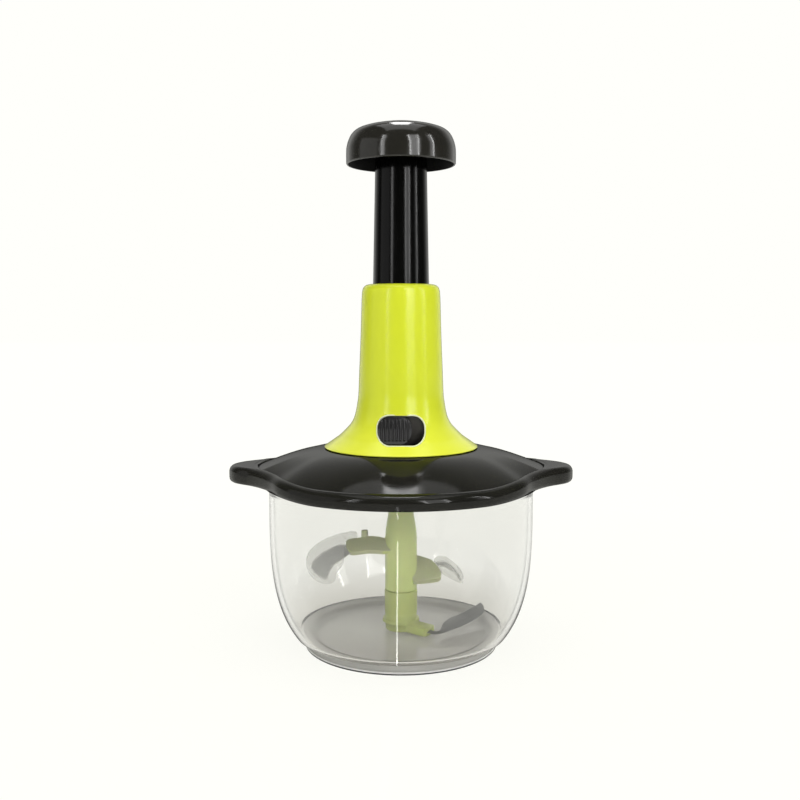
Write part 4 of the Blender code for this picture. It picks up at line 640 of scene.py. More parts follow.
def weave(shape, rows, ring):
    """Joins rows of corners, top row first, into a skin that faces outward."""
    pairs = list(zip(rows, rows[1:]))
    if ring:
        pairs.append((rows[-1], rows[0]))
    for high, low in pairs:
        count = max(len(high), len(low))
        for step in range(count if count > 1 else 0):
            after = (step + 1) % count
            if len(high) == 1:
                corners = (high[0], low[step], low[after])
            elif len(low) == 1:
                corners = (high[step], low[0], high[after])
            else:
                corners = (high[step], low[step], low[after], high[after])
            shape.faces.new(corners)


def piece_from(shape, name, finish, matrix=None, angle=38):
    """Turns an open bmesh into a piece, moved by the matrix."""
    mesh = bpy.data.meshes.new(name)
    if matrix is not None:
        shape.transform(matrix)
    shape.to_mesh(mesh)
    shape.free()
    return keep(name, mesh, finish, angle)


def turned(name, profile, finish, steps=128, ring=False):
    """A profile of (radius, height) turned about Z; a ring's profile is closed."""
    shape = bmesh.new()
    rows = []
    for radius, height in profile:
        angles = [math.tau * step / steps for step in range(steps if radius > 1e-7 else 1)]
        rows.append([shape.verts.new((radius * math.cos(a), radius * math.sin(a), height)) for a in angles])
    weave(shape, rows, ring)
    return piece_from(shape, name, finish)


def skinned(name, rows, finish, ring=False, matrix=None, angle=38):
    """A closed skin over rows of places, with capped ends unless the rows make a ring."""
    shape = bmesh.new()
    rows = [[shape.verts.new(place) for place in row] for row in rows]
    weave(shape, rows, ring)
    if not ring:
        shape.faces.new(rows[0])
        shape.faces.new(rows[-1][::-1])
    bmesh.ops.recalc_face_normals(shape, faces=shape.faces)
    return piece_from(shape, name, finish, matrix, angle)


def hoop(middle, across, up, sides):
    """Places in a circle round a middle, which the two arms span."""
    turns = [math.tau * side / sides for side in range(sides)]
    return [middle + across * math.cos(turn) + up * math.sin(turn) for turn in turns]


def bead(name, points, radius, finish):
    """A thin round bead along a closed path."""
    rows = []
    for index, point in enumerate(points):
        along = (points[(index + 1) % len(points)] - points[index - 1]).normalized()
        side = along.cross(Vector((0, 1, 0)))
        side = side.normalized() if side.length > 1e-6 else along.orthogonal().normalized()
        rise = side.cross(along).normalized()
        rows.append(hoop(point, side * radius, rise * radius, 8))
    return skinned(name, rows, finish, ring=True)


def slab(outline, thickness, bevel=0.0):
    """A flat outline with thickness, its long edges rounded by the bevel, as an open bmesh."""
    shape = bmesh.new()
    low, high = (
        [shape.verts.new((point[0], point[1], half)) for point in outline]
        for half in (-thickness / 2, thickness / 2)
    )
    if not turns_left(outline):
        low.reverse()
        high.reverse()
    shape.faces.new(high)
    shape.faces.new(low[::-1])
    for index in range(len(low)):
        after = (index + 1) % len(low)
        shape.faces.new((low[index], low[after], high[after], high[index]))
    if bevel:
        rims = [edge for face in shape.faces[:2] for edge in face.edges]
        bmesh.ops.bevel(
            shape, geom=rims, offset=bevel, segments=2, profile=0.5, affect="EDGES", clamp_overlap=True
        )
    return shape


def applied(piece):
    """Keeps what the piece's modifiers show as its own mesh."""
    graph = bpy.context.evaluated_depsgraph_get()
    mesh = bpy.data.meshes.new_from_object(piece.evaluated_get(graph))
    piece.modifiers.clear()
    old = piece.data
    piece.data = mesh
    mesh.name = piece.name
    bpy.data.meshes.remove(old)


def combined(target, tool, operation):
    """Adds, cuts or keeps the tool's shape in the target, and drops the tool."""
    change = target.modifiers.new("combine", "BOOLEAN")
    change.operation = operation
    change.solver = "EXACT"
    change.object = tool
    applied(target)
    bpy.data.objects.remove(tool)


def softened(piece, width, segments, degrees):
    """Rounds the piece's sharp edges and keeps the result as its mesh."""
    soften = piece.modifiers.new("soften", "BEVEL")
    soften.width = width
    soften.segments = segments
    soften.limit_method = "ANGLE"
    soften.angle_limit = math.radians(degrees)
    soften.harden_normals = False
    applied(piece)
    piece.data.shade_smooth()
    piece.data.set_sharp_from_angle(angle=math.radians(degrees))


def second_finish(piece, finish, chosen):
    """Gives another finish to the faces whose middles are chosen."""
    piece.data.materials.append(FINISHES[finish])
    for face in piece.data.polygons:
        if chosen(face.center):
            face.material_index = len(piece.data.materials) - 1


def plane_matrix(plane):
    """Where a plane lies, from its height, its pitch and its turn about Z."""
    height, pitch, yaw = plane
    return Matrix.Translation((0, 0, height)) @ Matrix.Rotation(yaw, 4, "Z") @ Matrix.Rotation(pitch, 4, "X")


# Geometry nodes

def new_tree(name, inputs):
    """A tree with its named inputs, and the outputs of its input node."""
    tree = bpy.data.node_groups.new(name, "GeometryNodeTree")
    tree.interface.new_socket("Geometry", in_out="INPUT", socket_type="NodeSocketGeometry")
    for label, kind, value in inputs:
        socket = tree.interface.new_socket(label, in_out="INPUT", socket_type="NodeSocket" + kind)
        if value is not None:
            socket.default_value = value
    tree.interface.new_socket("Geometry", in_out="OUTPUT", socket_type="NodeSocketGeometry")
    return tree, tree.nodes.new("NodeGroupInput").outputs


def painted_copies(tree, points, shape, finish):
    """Ends a tree: the shape on each point, made real and given its finish."""
    copies = add_node(tree, "GeometryNodeInstanceOnPoints", Points=points, Instance=shape)
    real = add_node(tree, "GeometryNodeRealizeInstances", Geometry=copies.outputs["Instances"])
    paint = add_node(tree, "GeometryNodeSetMaterial", Geometry=real.outputs["Geometry"], Material=finish)
    add_node(tree, "NodeGroupOutput", Geometry=paint.outputs["Geometry"])


def grown_by_nodes(name, tree, values, finish):
    """Runs a geometry tree on an empty mesh and keeps the result as a plain piece."""
    seed = linked(name + "_seed", bpy.data.meshes.new(name + "_seed"))
    change = seed.modifiers.new("grow", "NODES")
    change.node_group = tree
    for label, value in values.items():
        identifier = next(item.identifier for item in tree.interface.items_tree if item.name == label)
        change[identifier] = value
    graph = bpy.context.evaluated_depsgraph_get()
    mesh = bpy.data.meshes.new_from_object(seed.evaluated_get(graph))
    seed.modifiers.clear()
    bpy.data.objects.remove(seed)
    mesh.name = name
    return keep(name, mesh, finish)


# Settings

class BowlSettings(bpy.types.PropertyGroup):
    radius: bpy.props.FloatProperty(
        name="Radius", description="Outer radius of the bowl's upright side", default=0.0726, unit="LENGTH"
    )
    wall: bpy.props.FloatProperty(
        name="Wall", description="Thickness of the bowl's wall", default=0.0023, unit="LENGTH"
    )
    steps: bpy.props.IntProperty(
        name="Divisions", description="Divisions round the bowl", default=160, min=24
    )


class LidSettings(bpy.types.PropertyGroup):
    rim_radius: bpy.props.FloatProperty(
        name="Rim radius", description="Radius of the round part of the rim", default=0.0772, unit="LENGTH"
    )
    wing_reach: bpy.props.FloatProperty(
        name="Wing reach", description="From the axis to a wing's tip", default=0.0950, unit="LENGTH"
    )
    rim_top: bpy.props.FloatProperty(
        name="Rim top", description="Height of the rim at the front", default=0.0966, unit="LENGTH"
    )
    wing_rise: bpy.props.FloatProperty(
        name="Wing rise", description="How far the wings rise above the rim", default=0.0038, unit="LENGTH"
    )


class CollarSettings(bpy.types.PropertyGroup):
    wall: bpy.props.FloatProperty(
        name="Wall", description="Thickness of the collar's wall", default=0.0022, unit="LENGTH"
    )
    window_width: bpy.props.FloatProperty(
        name="Window width", description="Width of the lock window", default=0.0250, unit="LENGTH"
    )
    window_height: bpy.props.FloatProperty(
        name="Window height", description="Height of the lock window", default=0.0147, unit="LENGTH"
    )
    rib_count: bpy.props.IntProperty(
        name="Button ribs", description="Grip ribs on the lock button", default=8, min=3
    )


class StageSettings(bpy.types.PropertyGroup):
    background: bpy.props.FloatVectorProperty(
        name="Background", description="Colour behind the object", subtype="COLOR", size=3,
        default=(1.0, 1.0, 0.965), min=0, max=1,
    )
    world_strength: bpy.props.FloatProperty(
        name="World strength", description="Strength of the even light", default=0.42
    )
    room_strength: bpy.props.FloatProperty(
        name="Room strength", description="Strength of the dim room in front, seen in gloss", default=0.06
    )
    window_power: bpy.props.FloatProperty(
        name="Window power", description="Power of the large window lamp", default=5.0, unit="POWER"
    )
    top_power: bpy.props.FloatProperty(
        name="Top power", description="Power of the soft lamp above", default=7.5, unit="POWER"
    )


# The bowl and its foot

def bowl_radius(height, radius, wall):
    """Radius of the bowl's side at a height, opening a little towards the rim."""
    drop = abs(BOWL_WIDEST_HEIGHT - height) / (BOWL_CURVE_DEPTH - wall)
    side = (radius - wall) * (1 - drop**BOWL_CURVE_POWER) ** (1 / BOWL_CURVE_POWER)
    return side + (BOWL_RIM_RADIUS - radius) * eased(height, BOWL_FLARE_START, BOWL_FLARE_END)


def bowl_side(lowest, radius, wall=0.0):
    """Places down one face of the bowl's wall, from the rim to the lowest height."""
    rim = BOWL_RIM_HEIGHT - BOWL_RIM_ROUND
    shares = [(step / BOWL_SIDE_ROWS) ** 0.8 for step in range(BOWL_SIDE_ROWS + 1)]
    heights = [rim + (lowest - rim) * share for share in shares]
    return [(bowl_radius(height, radius, wall), height) for height in heights]


class CHOPPER_OT_bowl(bpy.types.Operator):
    """Makes the clear bowl, with its rounded rim, floor boss and foot step"""

    bl_idname = "chopper.bowl"
    bl_label = "Bowl"

    def execute(self, context):
        settings = context.scene.chopper_bowl
        inside = bowl_side(BOWL_INSIDE_FOOT, settings.radius, settings.wall)
        outside = bowl_side(BOWL_FOOT_HEIGHT + 0.0007, settings.radius)
        boss = BOWL_FLOOR_TOP + 0.0012
        floor = [
            (0.0024, BOWL_FLOOR_TOP - 0.0010), (0.0024, boss), (0.0036, boss),
            (0.0036, BOWL_FLOOR_TOP), (0.0440, BOWL_FLOOR_TOP),
        ]
        ledge = [
            (0.0455, BOWL_FLOOR_TOP), (0.0472, 0.0058), (0.0488, 0.0064), (0.0502, 0.0072),
            (0.0520, 0.0078), (0.0545, 0.0083), inside[-1],
        ]
        profile = [(0, BOWL_FLOOR_TOP - 0.0010), *rounded(floor, 0.0004), *flowing(ledge)[:-1], *inside[::-1]]
        (inner, rim), (outer, _) = inside[0], outside[0]
        for step in range(1, 8):
            angle = math.pi * step / 8
            across = (inner + outer) / 2 - (outer - inner) / 2 * math.cos(angle)
            profile.append((across, rim + BOWL_RIM_ROUND * math.sin(angle)))
        foot = outside[-1][0]
        base = [
            (foot - 0.0003, BOWL_FOOT_HEIGHT + 0.0003), (foot - 0.0008, BOWL_FOOT_HEIGHT + 0.0001),
            (foot - 0.0014, BOWL_FOOT_HEIGHT), (FOOT_PLUG_RADIUS, BOWL_FOOT_HEIGHT),
            (FOOT_PLUG_RADIUS, BOWL_FLOOR_BOTTOM), (0.0200, BOWL_FLOOR_BOTTOM),
        ]
        profile += [*outside, *rounded(base, 0.0004), (0, BOWL_FLOOR_BOTTOM)]
        settle(turned("bowl_shell", profile, "bowl", settings.steps), "bowl", "bowl_clear", "bowl")
        return {"FINISHED"}


class CHOPPER_OT_foot(bpy.types.Operator):
    """Makes the soft grey ring that the bowl stands on"""

    bl_idname = "chopper.foot"
    bl_label = "Foot ring"

    def execute(self, context):
        inner_wall = FOOT_PLUG_RADIUS + FIT_GAP
        top = BOWL_FOOT_HEIGHT - FIT_GAP
        shelf = BOWL_FLOOR_BOTTOM - FIT_GAP
        profile = [
            (FOOT_RADIUS - 0.0009, top), (FOOT_RADIUS - 0.0004, 0.0022), (FOOT_RADIUS - 0.0007, 0.0019),
            (FOOT_RADIUS, 0.0016), (FOOT_RADIUS, 0),
            (0.0500, 0), (0.0496, 0.0006), (0.0490, 0.0006), (0.0486, 0), (0.0466, 0),
            (0.0466, shelf), (inner_wall, shelf), (inner_wall, top),
        ]
        foot = turned("foot_band", rounded(profile, 0.0005, 3, closed=True), "foot", 144, ring=True)
        settle(foot, "bowl", "foot_grey", "foot_ring")
        return {"FINISHED"}


# The rotor

class CHOPPER_OT_rotor(bpy.types.Operator):
    """Makes the rotor's post and sleeve with their three blade arms"""

    bl_idname = "chopper.rotor"
    bl_label = "Rotor"

    def execute(self, context):
        bottom, socket_top = 0.02995, 0.03635
        profile = [
            (0, 0.0885), (0.0060, 0.0885), (0.0066, 0.0810), (0.0072, 0.0726), (0.0079, 0.0680),
            (0.0085, 0.0640), (0.0089, 0.0590), (0.0089, bottom), (0.0058, bottom),
            (0.0058, socket_top), (0, socket_top),
        ]
        post = turned("rotor_post", rounded(profile, 0.0006, 3), "olive", 96)
        turns = [math.tau * corner / 6 for corner in range(6)]
        corners = [(0.0052 * math.cos(turn), 0.0052 * math.sin(turn)) for turn in turns]
        shape = slab(rounded(corners, 0.0006, 3, closed=True), 0.0360)
        combined(post, piece_from(shape, "hexagon", "olive", Matrix.Translation((0, 0, 0.0780))), "UNION")
        for outline, plane in ((UPPER_ARM, UPPER_PLANE), (MIDDLE_ARM, MIDDLE_PLANE)):
            shape = slab(rounded(sized(outline), 0.0030, closed=True), ARM_THICKNESS, 0.0004)
            combined(post, piece_from(shape, "arm", "olive", plane_matrix(plane)), "UNION")
        pin = [(0, 0.0628), (0.0019, 0.0628), (0.0019, 0.0572), (0, 0.0572)]
        peg = turned("peg", rounded(pin, 0.0009), "olive", 32)
        peg.data.transform(Matrix.Translation((-0.0203, 0.0020, 0)))
        combined(post, peg, "UNION")
        softened(post, 0.0004, 2, 38)
        # the arms take a greyer, darker copy of the olive: painted shade
        second_finish(post, "arm", lambda middle: middle.xy.length > ARM_BEYOND_POST)
        settle(post, "rotor", "rotor_olive", "rotor_hub")

        profile = [
            (0.0055, 0.0360), (0.0055, 0.02965), (0.0092, 0.02965), (0.0090, 0.0180),
            (0.0086, 0.0071), (0.0032, 0.0071), (0.0032, 0.0360),
        ]
        # the sleeve takes a darker copy of the olive: painted shade
        sleeve = turned("rotor_foot", rounded(profile, 0.0004, 3, closed=True), "sleeve", 96, ring=True)
        outline = rounded(rectangle(0.0062, -0.0045, 0.0205, 0.0045), 0.0012, closed=True)
        place = Matrix.Rotation(LOW_ARM_YAW, 4, "Z") @ Matrix.Translation((0, 0, 0.0094))
        combined(sleeve, piece_from(slab(outline, 0.0044, 0.0004), "low_arm", "sleeve", place), "UNION")
        fillet = [(0.0100, 0.0134), (0.0104, 0.0116), (0.0086, 0.0116), (0.0084, 0.0134)]
        fillet = rounded(fillet, 0.0003, 2, closed=True)
        combined(sleeve, turned("foot_collar", fillet, "sleeve", 64, ring=True), "UNION")
        settle(sleeve, "rotor", "rotor_olive", "rotor_sleeve")
        return {"FINISHED"}


def ground_blade(name, outer, inner, plane, node, finish):
    """A sickle of sheet steel, ground thin along its outer edge."""
    edge, back = (resampled(flowing(sized(side), 5), 56) for side in (outer, inner))
    rows = [
        [(*one.lerp(two, across), BLADE_THICKNESS / 2 * lift) for across, lift in BLADE_SECTION]
        for one, two in zip(edge, back)
    ]
    blade = skinned(name, rows, finish, matrix=plane_matrix(plane), angle=25)
    settle(blade, "rotor", "blade_steel", node)


class CHOPPER_OT_blades(bpy.types.Operator):
    """Makes the three ground steel blades"""

    bl_idname = "chopper.blades"
    bl_label = "Blades"

    def execute(self, context):
        # the middle blade takes the painted reflection copy of the steel, the lowest the painted shade copy
        for name, outer, inner, plane, node, finish in (
            ("upper_sickle", UPPER_BLADE_OUTER, UPPER_BLADE_INNER, UPPER_PLANE, "blade_upper", "blade"),
            (
                "middle_sickle", MIDDLE_BLADE_OUTER, MIDDLE_BLADE_INNER, MIDDLE_PLANE,
                "blade_middle", "middle_blade_lit",
            ),
            ("lowest_sickle", LOW_BLADE_OUTER, LOW_BLADE_INNER, LOW_PLANE, "blade_lowest", "low_blade_shaded"),
        ):
            ground_blade(name, outer, inner, plane, node, finish)
        return {"FINISHED"}


class CHOPPER_OT_guards(bpy.types.Operator):
    """Makes the clear sheaths over the two upper blades"""

    bl_idname = "chopper.guards"
    bl_label = "Blade guards"

    def execute(self, context):
        for name, outline, outer, inner, plane, node in (
            ("upper_sheath", UPPER_GUARD, UPPER_BLADE_OUTER, UPPER_BLADE_INNER, UPPER_PLANE, "guard_upper"),
            (
                "middle_sheath", MIDDLE_GUARD, MIDDLE_BLADE_OUTER, MIDDLE_BLADE_INNER, MIDDLE_PLANE,
                "guard_middle",
            ),
        ):
            turn = plane_matrix(plane)
            shape = slab(rounded(sized(outline), 0.0016, 5, closed=True), ARM_THICKNESS, 0.0005)
            guard = piece_from(shape, name, "guard", turn)
            pocket = slab(grown(sized(outer + inner[::-1]), FIT_GAP), POCKET_THICKNESS)
            combined(guard, piece_from(pocket, "pocket", "guard", turn), "DIFFERENCE")
            guard.data.shade_smooth()
            guard.data.set_sharp_from_angle(angle=math.radians(30))
            settle(guard, "rotor", "guard_clear", node)
        return {"FINISHED"}


# The lid

def wing_radius(angle, settings):
    """Outer radius of the rim in a direction, wings included."""
    turn = abs(math.atan2(math.sin(angle), abs(math.cos(angle))))
    if turn >= WING_START:
        return settings.rim_radius
    half = sorted(
        (math.atan2(across, along), settings.wing_reach * math.hypot(across, along))
        for along, across in LID_WING
    )
    table = [(-away, radius) for away, radius in half[:0:-1]] + half
    table += [(WING_START, settings.rim_radius), (WING_END, settings.rim_radius)]
    index = max(row for row in range(len(table) - 1) if table[row][0] <= turn)
    index = min(max(index, 1), len(table) - 3)
    (t0, r0), (t1, r1), (t2, r2), (t3, r3) = table[index - 1 : index + 3]
    span = t2 - t1
    leave = span * ((r1 - r0) / (t1 - t0) + (r2 - r1) / span) / 2
    arrive = span * ((r2 - r1) / span + (r3 - r2) / (t3 - t2)) / 2
    return cubic(r1, leave, r2, arrive, (turn - t1) / span)


def recess_radius(angle):
    """Radius of the recess's edge: two arcs that meet in a soft point at each wing."""
    arc = (RECESS_REACH**2 + RECESS_DEPTH**2) / (2 * RECESS_DEPTH)
    shift = arc - RECESS_DEPTH
    lean = math.sqrt(math.sin(angle) ** 2 + RECESS_SOFTNESS**2)
    return -shift * lean + math.sqrt(arc**2 - (shift * math.cos(angle)) ** 2)


def lid_section(angle, settings):
    """The lid's closed outline in a direction: over its top, round the rim and back below."""

    def lift(radius):
        return eased(abs(radius * math.cos(angle)), WING_LIFT_START, WING_LIFT_END)

    def top(radius):
        return settings.rim_top + settings.wing_rise * lift(radius)

    outer = wing_radius(angle, settings)
    eye = min(recess_radius(angle), outer - RIM_NARROWEST)
    edge = eye + 0.0004
    fall = DECK_HEIGHT - top(edge) + LID_STEP
    rows = [(0.0072, 0.1094), (0.0076, DECK_HEIGHT), (0.0400, DECK_HEIGHT)]
    crown_end = (eye - 0.0005 - CROWN_RADIUS) / (edge - CROWN_RADIUS)
    for out in (*LID_CROWN, crown_end):
        rows.append((CROWN_RADIUS + (edge - CROWN_RADIUS) * out, DECK_HEIGHT - fall * out**CROWN_POWER))
    rows += [(eye + out, top(eye) + up) for out, up in RECESS_LIP]
    start, end = eye + RIM_INNER_WIDTH, outer - RIM_OUTER_WIDTH
    for share in (0, 0.25, 0.5, 0.75):
        radius = start + (end - start) * share
        rows.append((radius, top(radius)))
    low = LID_LOWEST + WING_LIFT * lift(outer)
    rows += [(outer - inward, top(outer) - down) for inward, down in RIM_SHOULDER]
    rows += [(outer - inward, low + up) for inward, up in RIM_FOOT]

    pocket = max(outer - 0.0024, LID_SKIRT_RADIUS + 0.0006)
    wall_out = min(LID_SKIRT_RADIUS + 0.0012, pocket - 0.0002)
    room = eased(pocket - LID_SKIRT_RADIUS - 0.0012, 0.0003, 0.0030)
    roof = low + (top(pocket) - LID_WALL - low) * room
    bend = low + (roof - low) * 0.1
    rows += [
        (pocket + 0.0002, low), (pocket, bend), (pocket - 0.00005, roof), (wall_out + 0.00005, roof),
        (wall_out, bend), (wall_out - 0.0002, low), (LID_SKIRT_RADIUS + 0.0002, low),
        (LID_SKIRT_RADIUS, low + 0.0002), (LID_SKIRT_RADIUS, LID_CEILING - 0.0004),
        (LID_SKIRT_RADIUS - 0.0004, LID_CEILING), *SEAL_GROOVE,
    ]
    seat = CROWN_RADIUS - LID_WALL
    limit = (SEAL_INSIDE - seat) / (edge - seat)
    for out in (1.0, *LID_CROWN[::-1]):
        drop = fall * (limit * out) ** CROWN_POWER
        rows.append((seat + (edge - seat) * limit * out, DECK_HEIGHT - LID_WALL - drop))
    rows += LID_HUB
    return [(radius * math.cos(angle), radius * math.sin(angle), height) for radius, height in rows]


class CHOPPER_OT_lid(bpy.types.Operator):
    """Makes the smoky lid: crown, eye-shaped recess, raised rim and two wings"""

    bl_idname = "chopper.lid"
    bl_label = "Lid"

    def execute(self, context):
        settings = context.scene.chopper_lid
        even = [math.tau * step / LID_DIRECTIONS for step in range(LID_DIRECTIONS)]
        closer = LID_CLOSER_AT_WINGS / 2
        sections = [lid_section(turn - closer * math.sin(2 * turn), settings) for turn in even]
        settle(skinned("lid_shell", zip(*sections), "lid", ring=True, angle=60), "lid", "lid_smoke", "lid")
        outline = [(0.0690, 0.0952), (0.0730, 0.0952), (0.0722, 0.0972), (0.0706, 0.0968)]
        outline = rounded(outline, 0.0003, 2, closed=True)
        for degrees, name in ((180 + 6, "left"), (-6, "right")):
            turn = Matrix.Rotation(math.radians(degrees), 4, "Z") @ UPRIGHT
            rib = piece_from(slab(outline, 0.0008, 0.0002), "pocket_rib_" + name, "lid", turn)
            settle(rib, "lid", "lid_smoke")
        return {"FINISHED"}


# The collar and its lock

def collar_radius(height):
    """Outer radius of the collar at a height, from its profile."""
    for (r1, z1), (r2, z2) in zip(COLLAR_OUTSIDE, COLLAR_OUTSIDE[1:]):
        if z2 <= height <= z1:
            return r1 + (r2 - r1) * (z1 - height) / (z1 - z2)
    return COLLAR_OUTSIDE[-1][0]


def lock_block(width, height, corner, middle, name, finish):
    """A block through the collar's front with the outline of the lock or its window."""
    turn = Matrix.Translation((middle, -WINDOW_BACK - WINDOW_DEPTH / 2, LOCK_HEIGHT)) @ UPRIGHT
    return piece_from(slab(stadium(width, height, corner), WINDOW_DEPTH), name, finish, turn)


class CHOPPER_OT_collar(bpy.types.Operator):
    """Makes the lime collar with its lock window and the pale bead round it, whose colour is a painted
    highlight
    """

    bl_idname = "chopper.collar"
    bl_label = "Collar"

    def execute(self, context):
        settings = context.scene.chopper_collar
        width, height = settings.window_width, settings.window_height
        inside = [(radius - settings.wall, up) for radius, up in COLLAR_OUTSIDE[::-1] if up < 0.1943]
        profile = [
            *flowing(COLLAR_OUTSIDE), (0.0421, 0.1103), (0.0419, 0.1101), *inside,
            (0.0191, 0.1965), (0.0162, 0.1965), (0.0159, 0.1968), (0.0159, 0.1986), (0.0163, 0.1990),
        ]
        collar = turned("collar_shell", profile, "collar", 192, ring=True)
        combined(collar, lock_block(width, height, WINDOW_CORNER, 0, "window", "collar"), "DIFFERENCE")
        softened(collar, 0.0004, 3, 40)
        settle(collar, "lid", "collar_lime", "collar")
        # a pale bead round the window, its colour a painted highlight
        path = []
        for point in stadium(width + 0.0003, height + 0.0003, WINDOW_CORNER + 0.00015, 12):
            radius = collar_radius(LOCK_HEIGHT + point.y) + 0.00005
            path.append(Vector((point.x, -math.sqrt(radius**2 - point.x**2), LOCK_HEIGHT + point.y)))
        settle(bead("window_lip", path, 0.00042, "lip"), "lid", "collar_lime")
        return {"FINISHED"}


def rib_tree():
    """Ribs in a row along X, each a bead that follows the button's front."""
    tree, given = new_tree(
        "button_ribs",
        (
            ("Count", "Int", 8), ("First", "Float", -0.0100), ("Pitch", "Float", 0.0020),
            ("Thickness", "Float", 0.0011), ("Path", "Object", None), ("Finish", "Material", None),
        ),
    )
    path = add_node(tree, "GeometryNodeObjectInfo", Object=given["Path"])
    half = add_node(tree, "ShaderNodeMath", given["Thickness"], 0.5, operation="MULTIPLY")
    circle = add_node(tree, "GeometryNodeCurvePrimitiveCircle", Resolution=10, Radius=half.outputs[0])
    curve = add_node(tree, "GeometryNodeMeshToCurve", Mesh=path.outputs["Geometry"])
    rib = add_node(
        tree, "GeometryNodeCurveToMesh", Curve=curve.outputs["Curve"],
        Profile_Curve=circle.outputs["Curve"], Fill_Caps=True,
    )
    first = add_node(tree, "ShaderNodeCombineXYZ", X=given["First"])
    pitch = add_node(tree, "ShaderNodeCombineXYZ", X=given["Pitch"])
    line = add_node(
        tree, "GeometryNodeMeshLine", Count=given["Count"],
        Start_Location=first.outputs["Vector"], Offset=pitch.outputs["Vector"],
    )
    painted_copies(tree, line.outputs["Mesh"], rib.outputs["Mesh"], given["Finish"])
    return tree


class CHOPPER_OT_lock(bpy.types.Operator):
    """Makes the sliding lock button with its grip ribs"""

    bl_idname = "chopper.lock"
    bl_label = "Lock button"

    def execute(self, context):
        low, high = LOCK_HEIGHT - LOCK_HALF_HEIGHT, LOCK_HEIGHT + LOCK_HALF_HEIGHT
        middle = LOCK_LEFT + LOCK_WIDTH / 2
        outline = [Vector((LOCK_BACK, high)), Vector((LOCK_BACK, low))]
        for step in range(25):
            height = low + (high - low) * step / 24
            outline.append(Vector((LOCK_SUNK - collar_radius(height), height)))
        # the outline's own X and Y become the button's Y and Z
        place = Matrix.Translation((middle, 0, 0)) @ Matrix(
            ((0, 0, 1, 0), (1, 0, 0, 0), (0, 1, 0, 0), (0, 0, 0, 1))
        )
        button = piece_from(slab(outline, LOCK_WIDTH), "lock_slider", "button", place)
        combined(button, lock_block(LOCK_WIDTH, 0.0133, 0.0059, middle, "limit", "button"), "INTERSECT")
        softened(button, 0.0005, 3, 40)
        heights = [LOCK_HEIGHT + RIB_HALF_HEIGHT * (2 * step / 16 - 1) for step in range(17)]
        mesh = bpy.data.meshes.new("rib_path")
        mesh.from_pydata(
            [(0, LOCK_SUNK - collar_radius(height), height) for height in heights],
            [(step, step + 1) for step in range(16)], [],
        )
        path = linked("rib_path", mesh)
        count = context.scene.chopper_collar.rib_count
        pitch = LOCK_WIDTH / (count + 1)
        values = {
            "Count": count, "First": LOCK_LEFT + pitch, "Pitch": pitch, "Thickness": 0.0013,
            "Path": path, "Finish": FINISHES["button"],
        }
        ribs = grown_by_nodes("button_grip", rib_tree(), values, "button")
        bpy.data.objects.remove(path)
        shape = slab(rectangle(-0.0091, -0.0220, -0.0061, -0.0159), 0.0016)
        tongue = piece_from(shape, "lock_tongue", "button", Matrix.Translation((0, 0, 0.1277)))
        settle(button, "lock", "button_black", "lock_button")
        settle(ribs, "lock", "button_black")
        settle(tongue, "lock", "button_black")
        return {"FINISHED"}


# The column and the knob

class CHOPPER_OT_column(bpy.types.Operator):
    """Makes the black column"""

    bl_idname = "chopper.column"
    bl_label = "Column"

    def execute(self, context):
        profile = [
            (0.0138, 0.2700), (0.0140, 0.2590), (0.0146, 0.2295), (0.0152, 0.2000), (0.0152, 0.1768),
            (0.0142, 0.1768), (0.0142, 0.1730), (0.0132, 0.1730), (0.0132, 0.1836), (0.0118, 0.1836),
            (0.0118, 0.2700),
        ]
        column = turned("column_tube", rounded(profile, 0.0003, 3, closed=True), "column", ring=True)
        settle(column, "plunger", "column_black", "column")
        return {"FINISHED"}


class CHOPPER_OT_knob(bpy.types.Operator):
    """Makes the palm knob: dimpled top, thin rim and hollow underside"""

    bl_idname = "chopper.knob"
    bl_label = "Knob"

    def execute(self, context):
        below = [
            (0.0295, 0.2645), (0.0295, 0.2634), (0.0291, 0.2628), (0.0285, 0.2628), (0.0272, 0.2700),
            (0.0232, 0.2740), (0.0166, 0.2738), (0.0166, 0.2690), (0.0143, 0.2690),
            (0.0141, 0.2703), (0.0023, 0.2703),
        ]
        profile = [*flowing(KNOB_OUTSIDE, 5), *rounded(below, 0.0006)[1:], (0.0023, 0.2780), (0, 0.2780)]
        knob = turned("knob_cap", profile, "knob", 160)
        # painted shade: the hollow underside takes a blacker, duller finish
        second_finish(knob, "hollow", lambda middle: middle.z < 0.2741 and middle.xy.length < 0.0285)
        settle(knob, "plunger", "knob_smoke", "knob")
        return {"FINISHED"}


# Screws, spring and what stays from the frame

def screw_tree():
    """Cross-headed screws in a circle, heads down."""
    tree, given = new_tree(
        "collar_screws",
        (
            ("Count", "Int", 3), ("Circle", "Float", SCREW_CIRCLE), ("Turn", "Float", math.radians(90)),
            ("Screw", "Object", None), ("Finish", "Material", None),
        ),
    )
    ring = add_node(tree, "GeometryNodeMeshCircle", Vertices=given["Count"], Radius=given["Circle"])
    angles = add_node(tree, "ShaderNodeCombineXYZ", Z=given["Turn"])
    spin = add_node(
        tree, "GeometryNodeTransform", Rotation=angles.outputs["Vector"], Geometry=ring.outputs["Mesh"]
    )
    screw = add_node(tree, "GeometryNodeObjectInfo", Object=given["Screw"])
    painted_copies(tree, spin.outputs["Geometry"], screw.outputs["Geometry"], given["Finish"])
    return tree


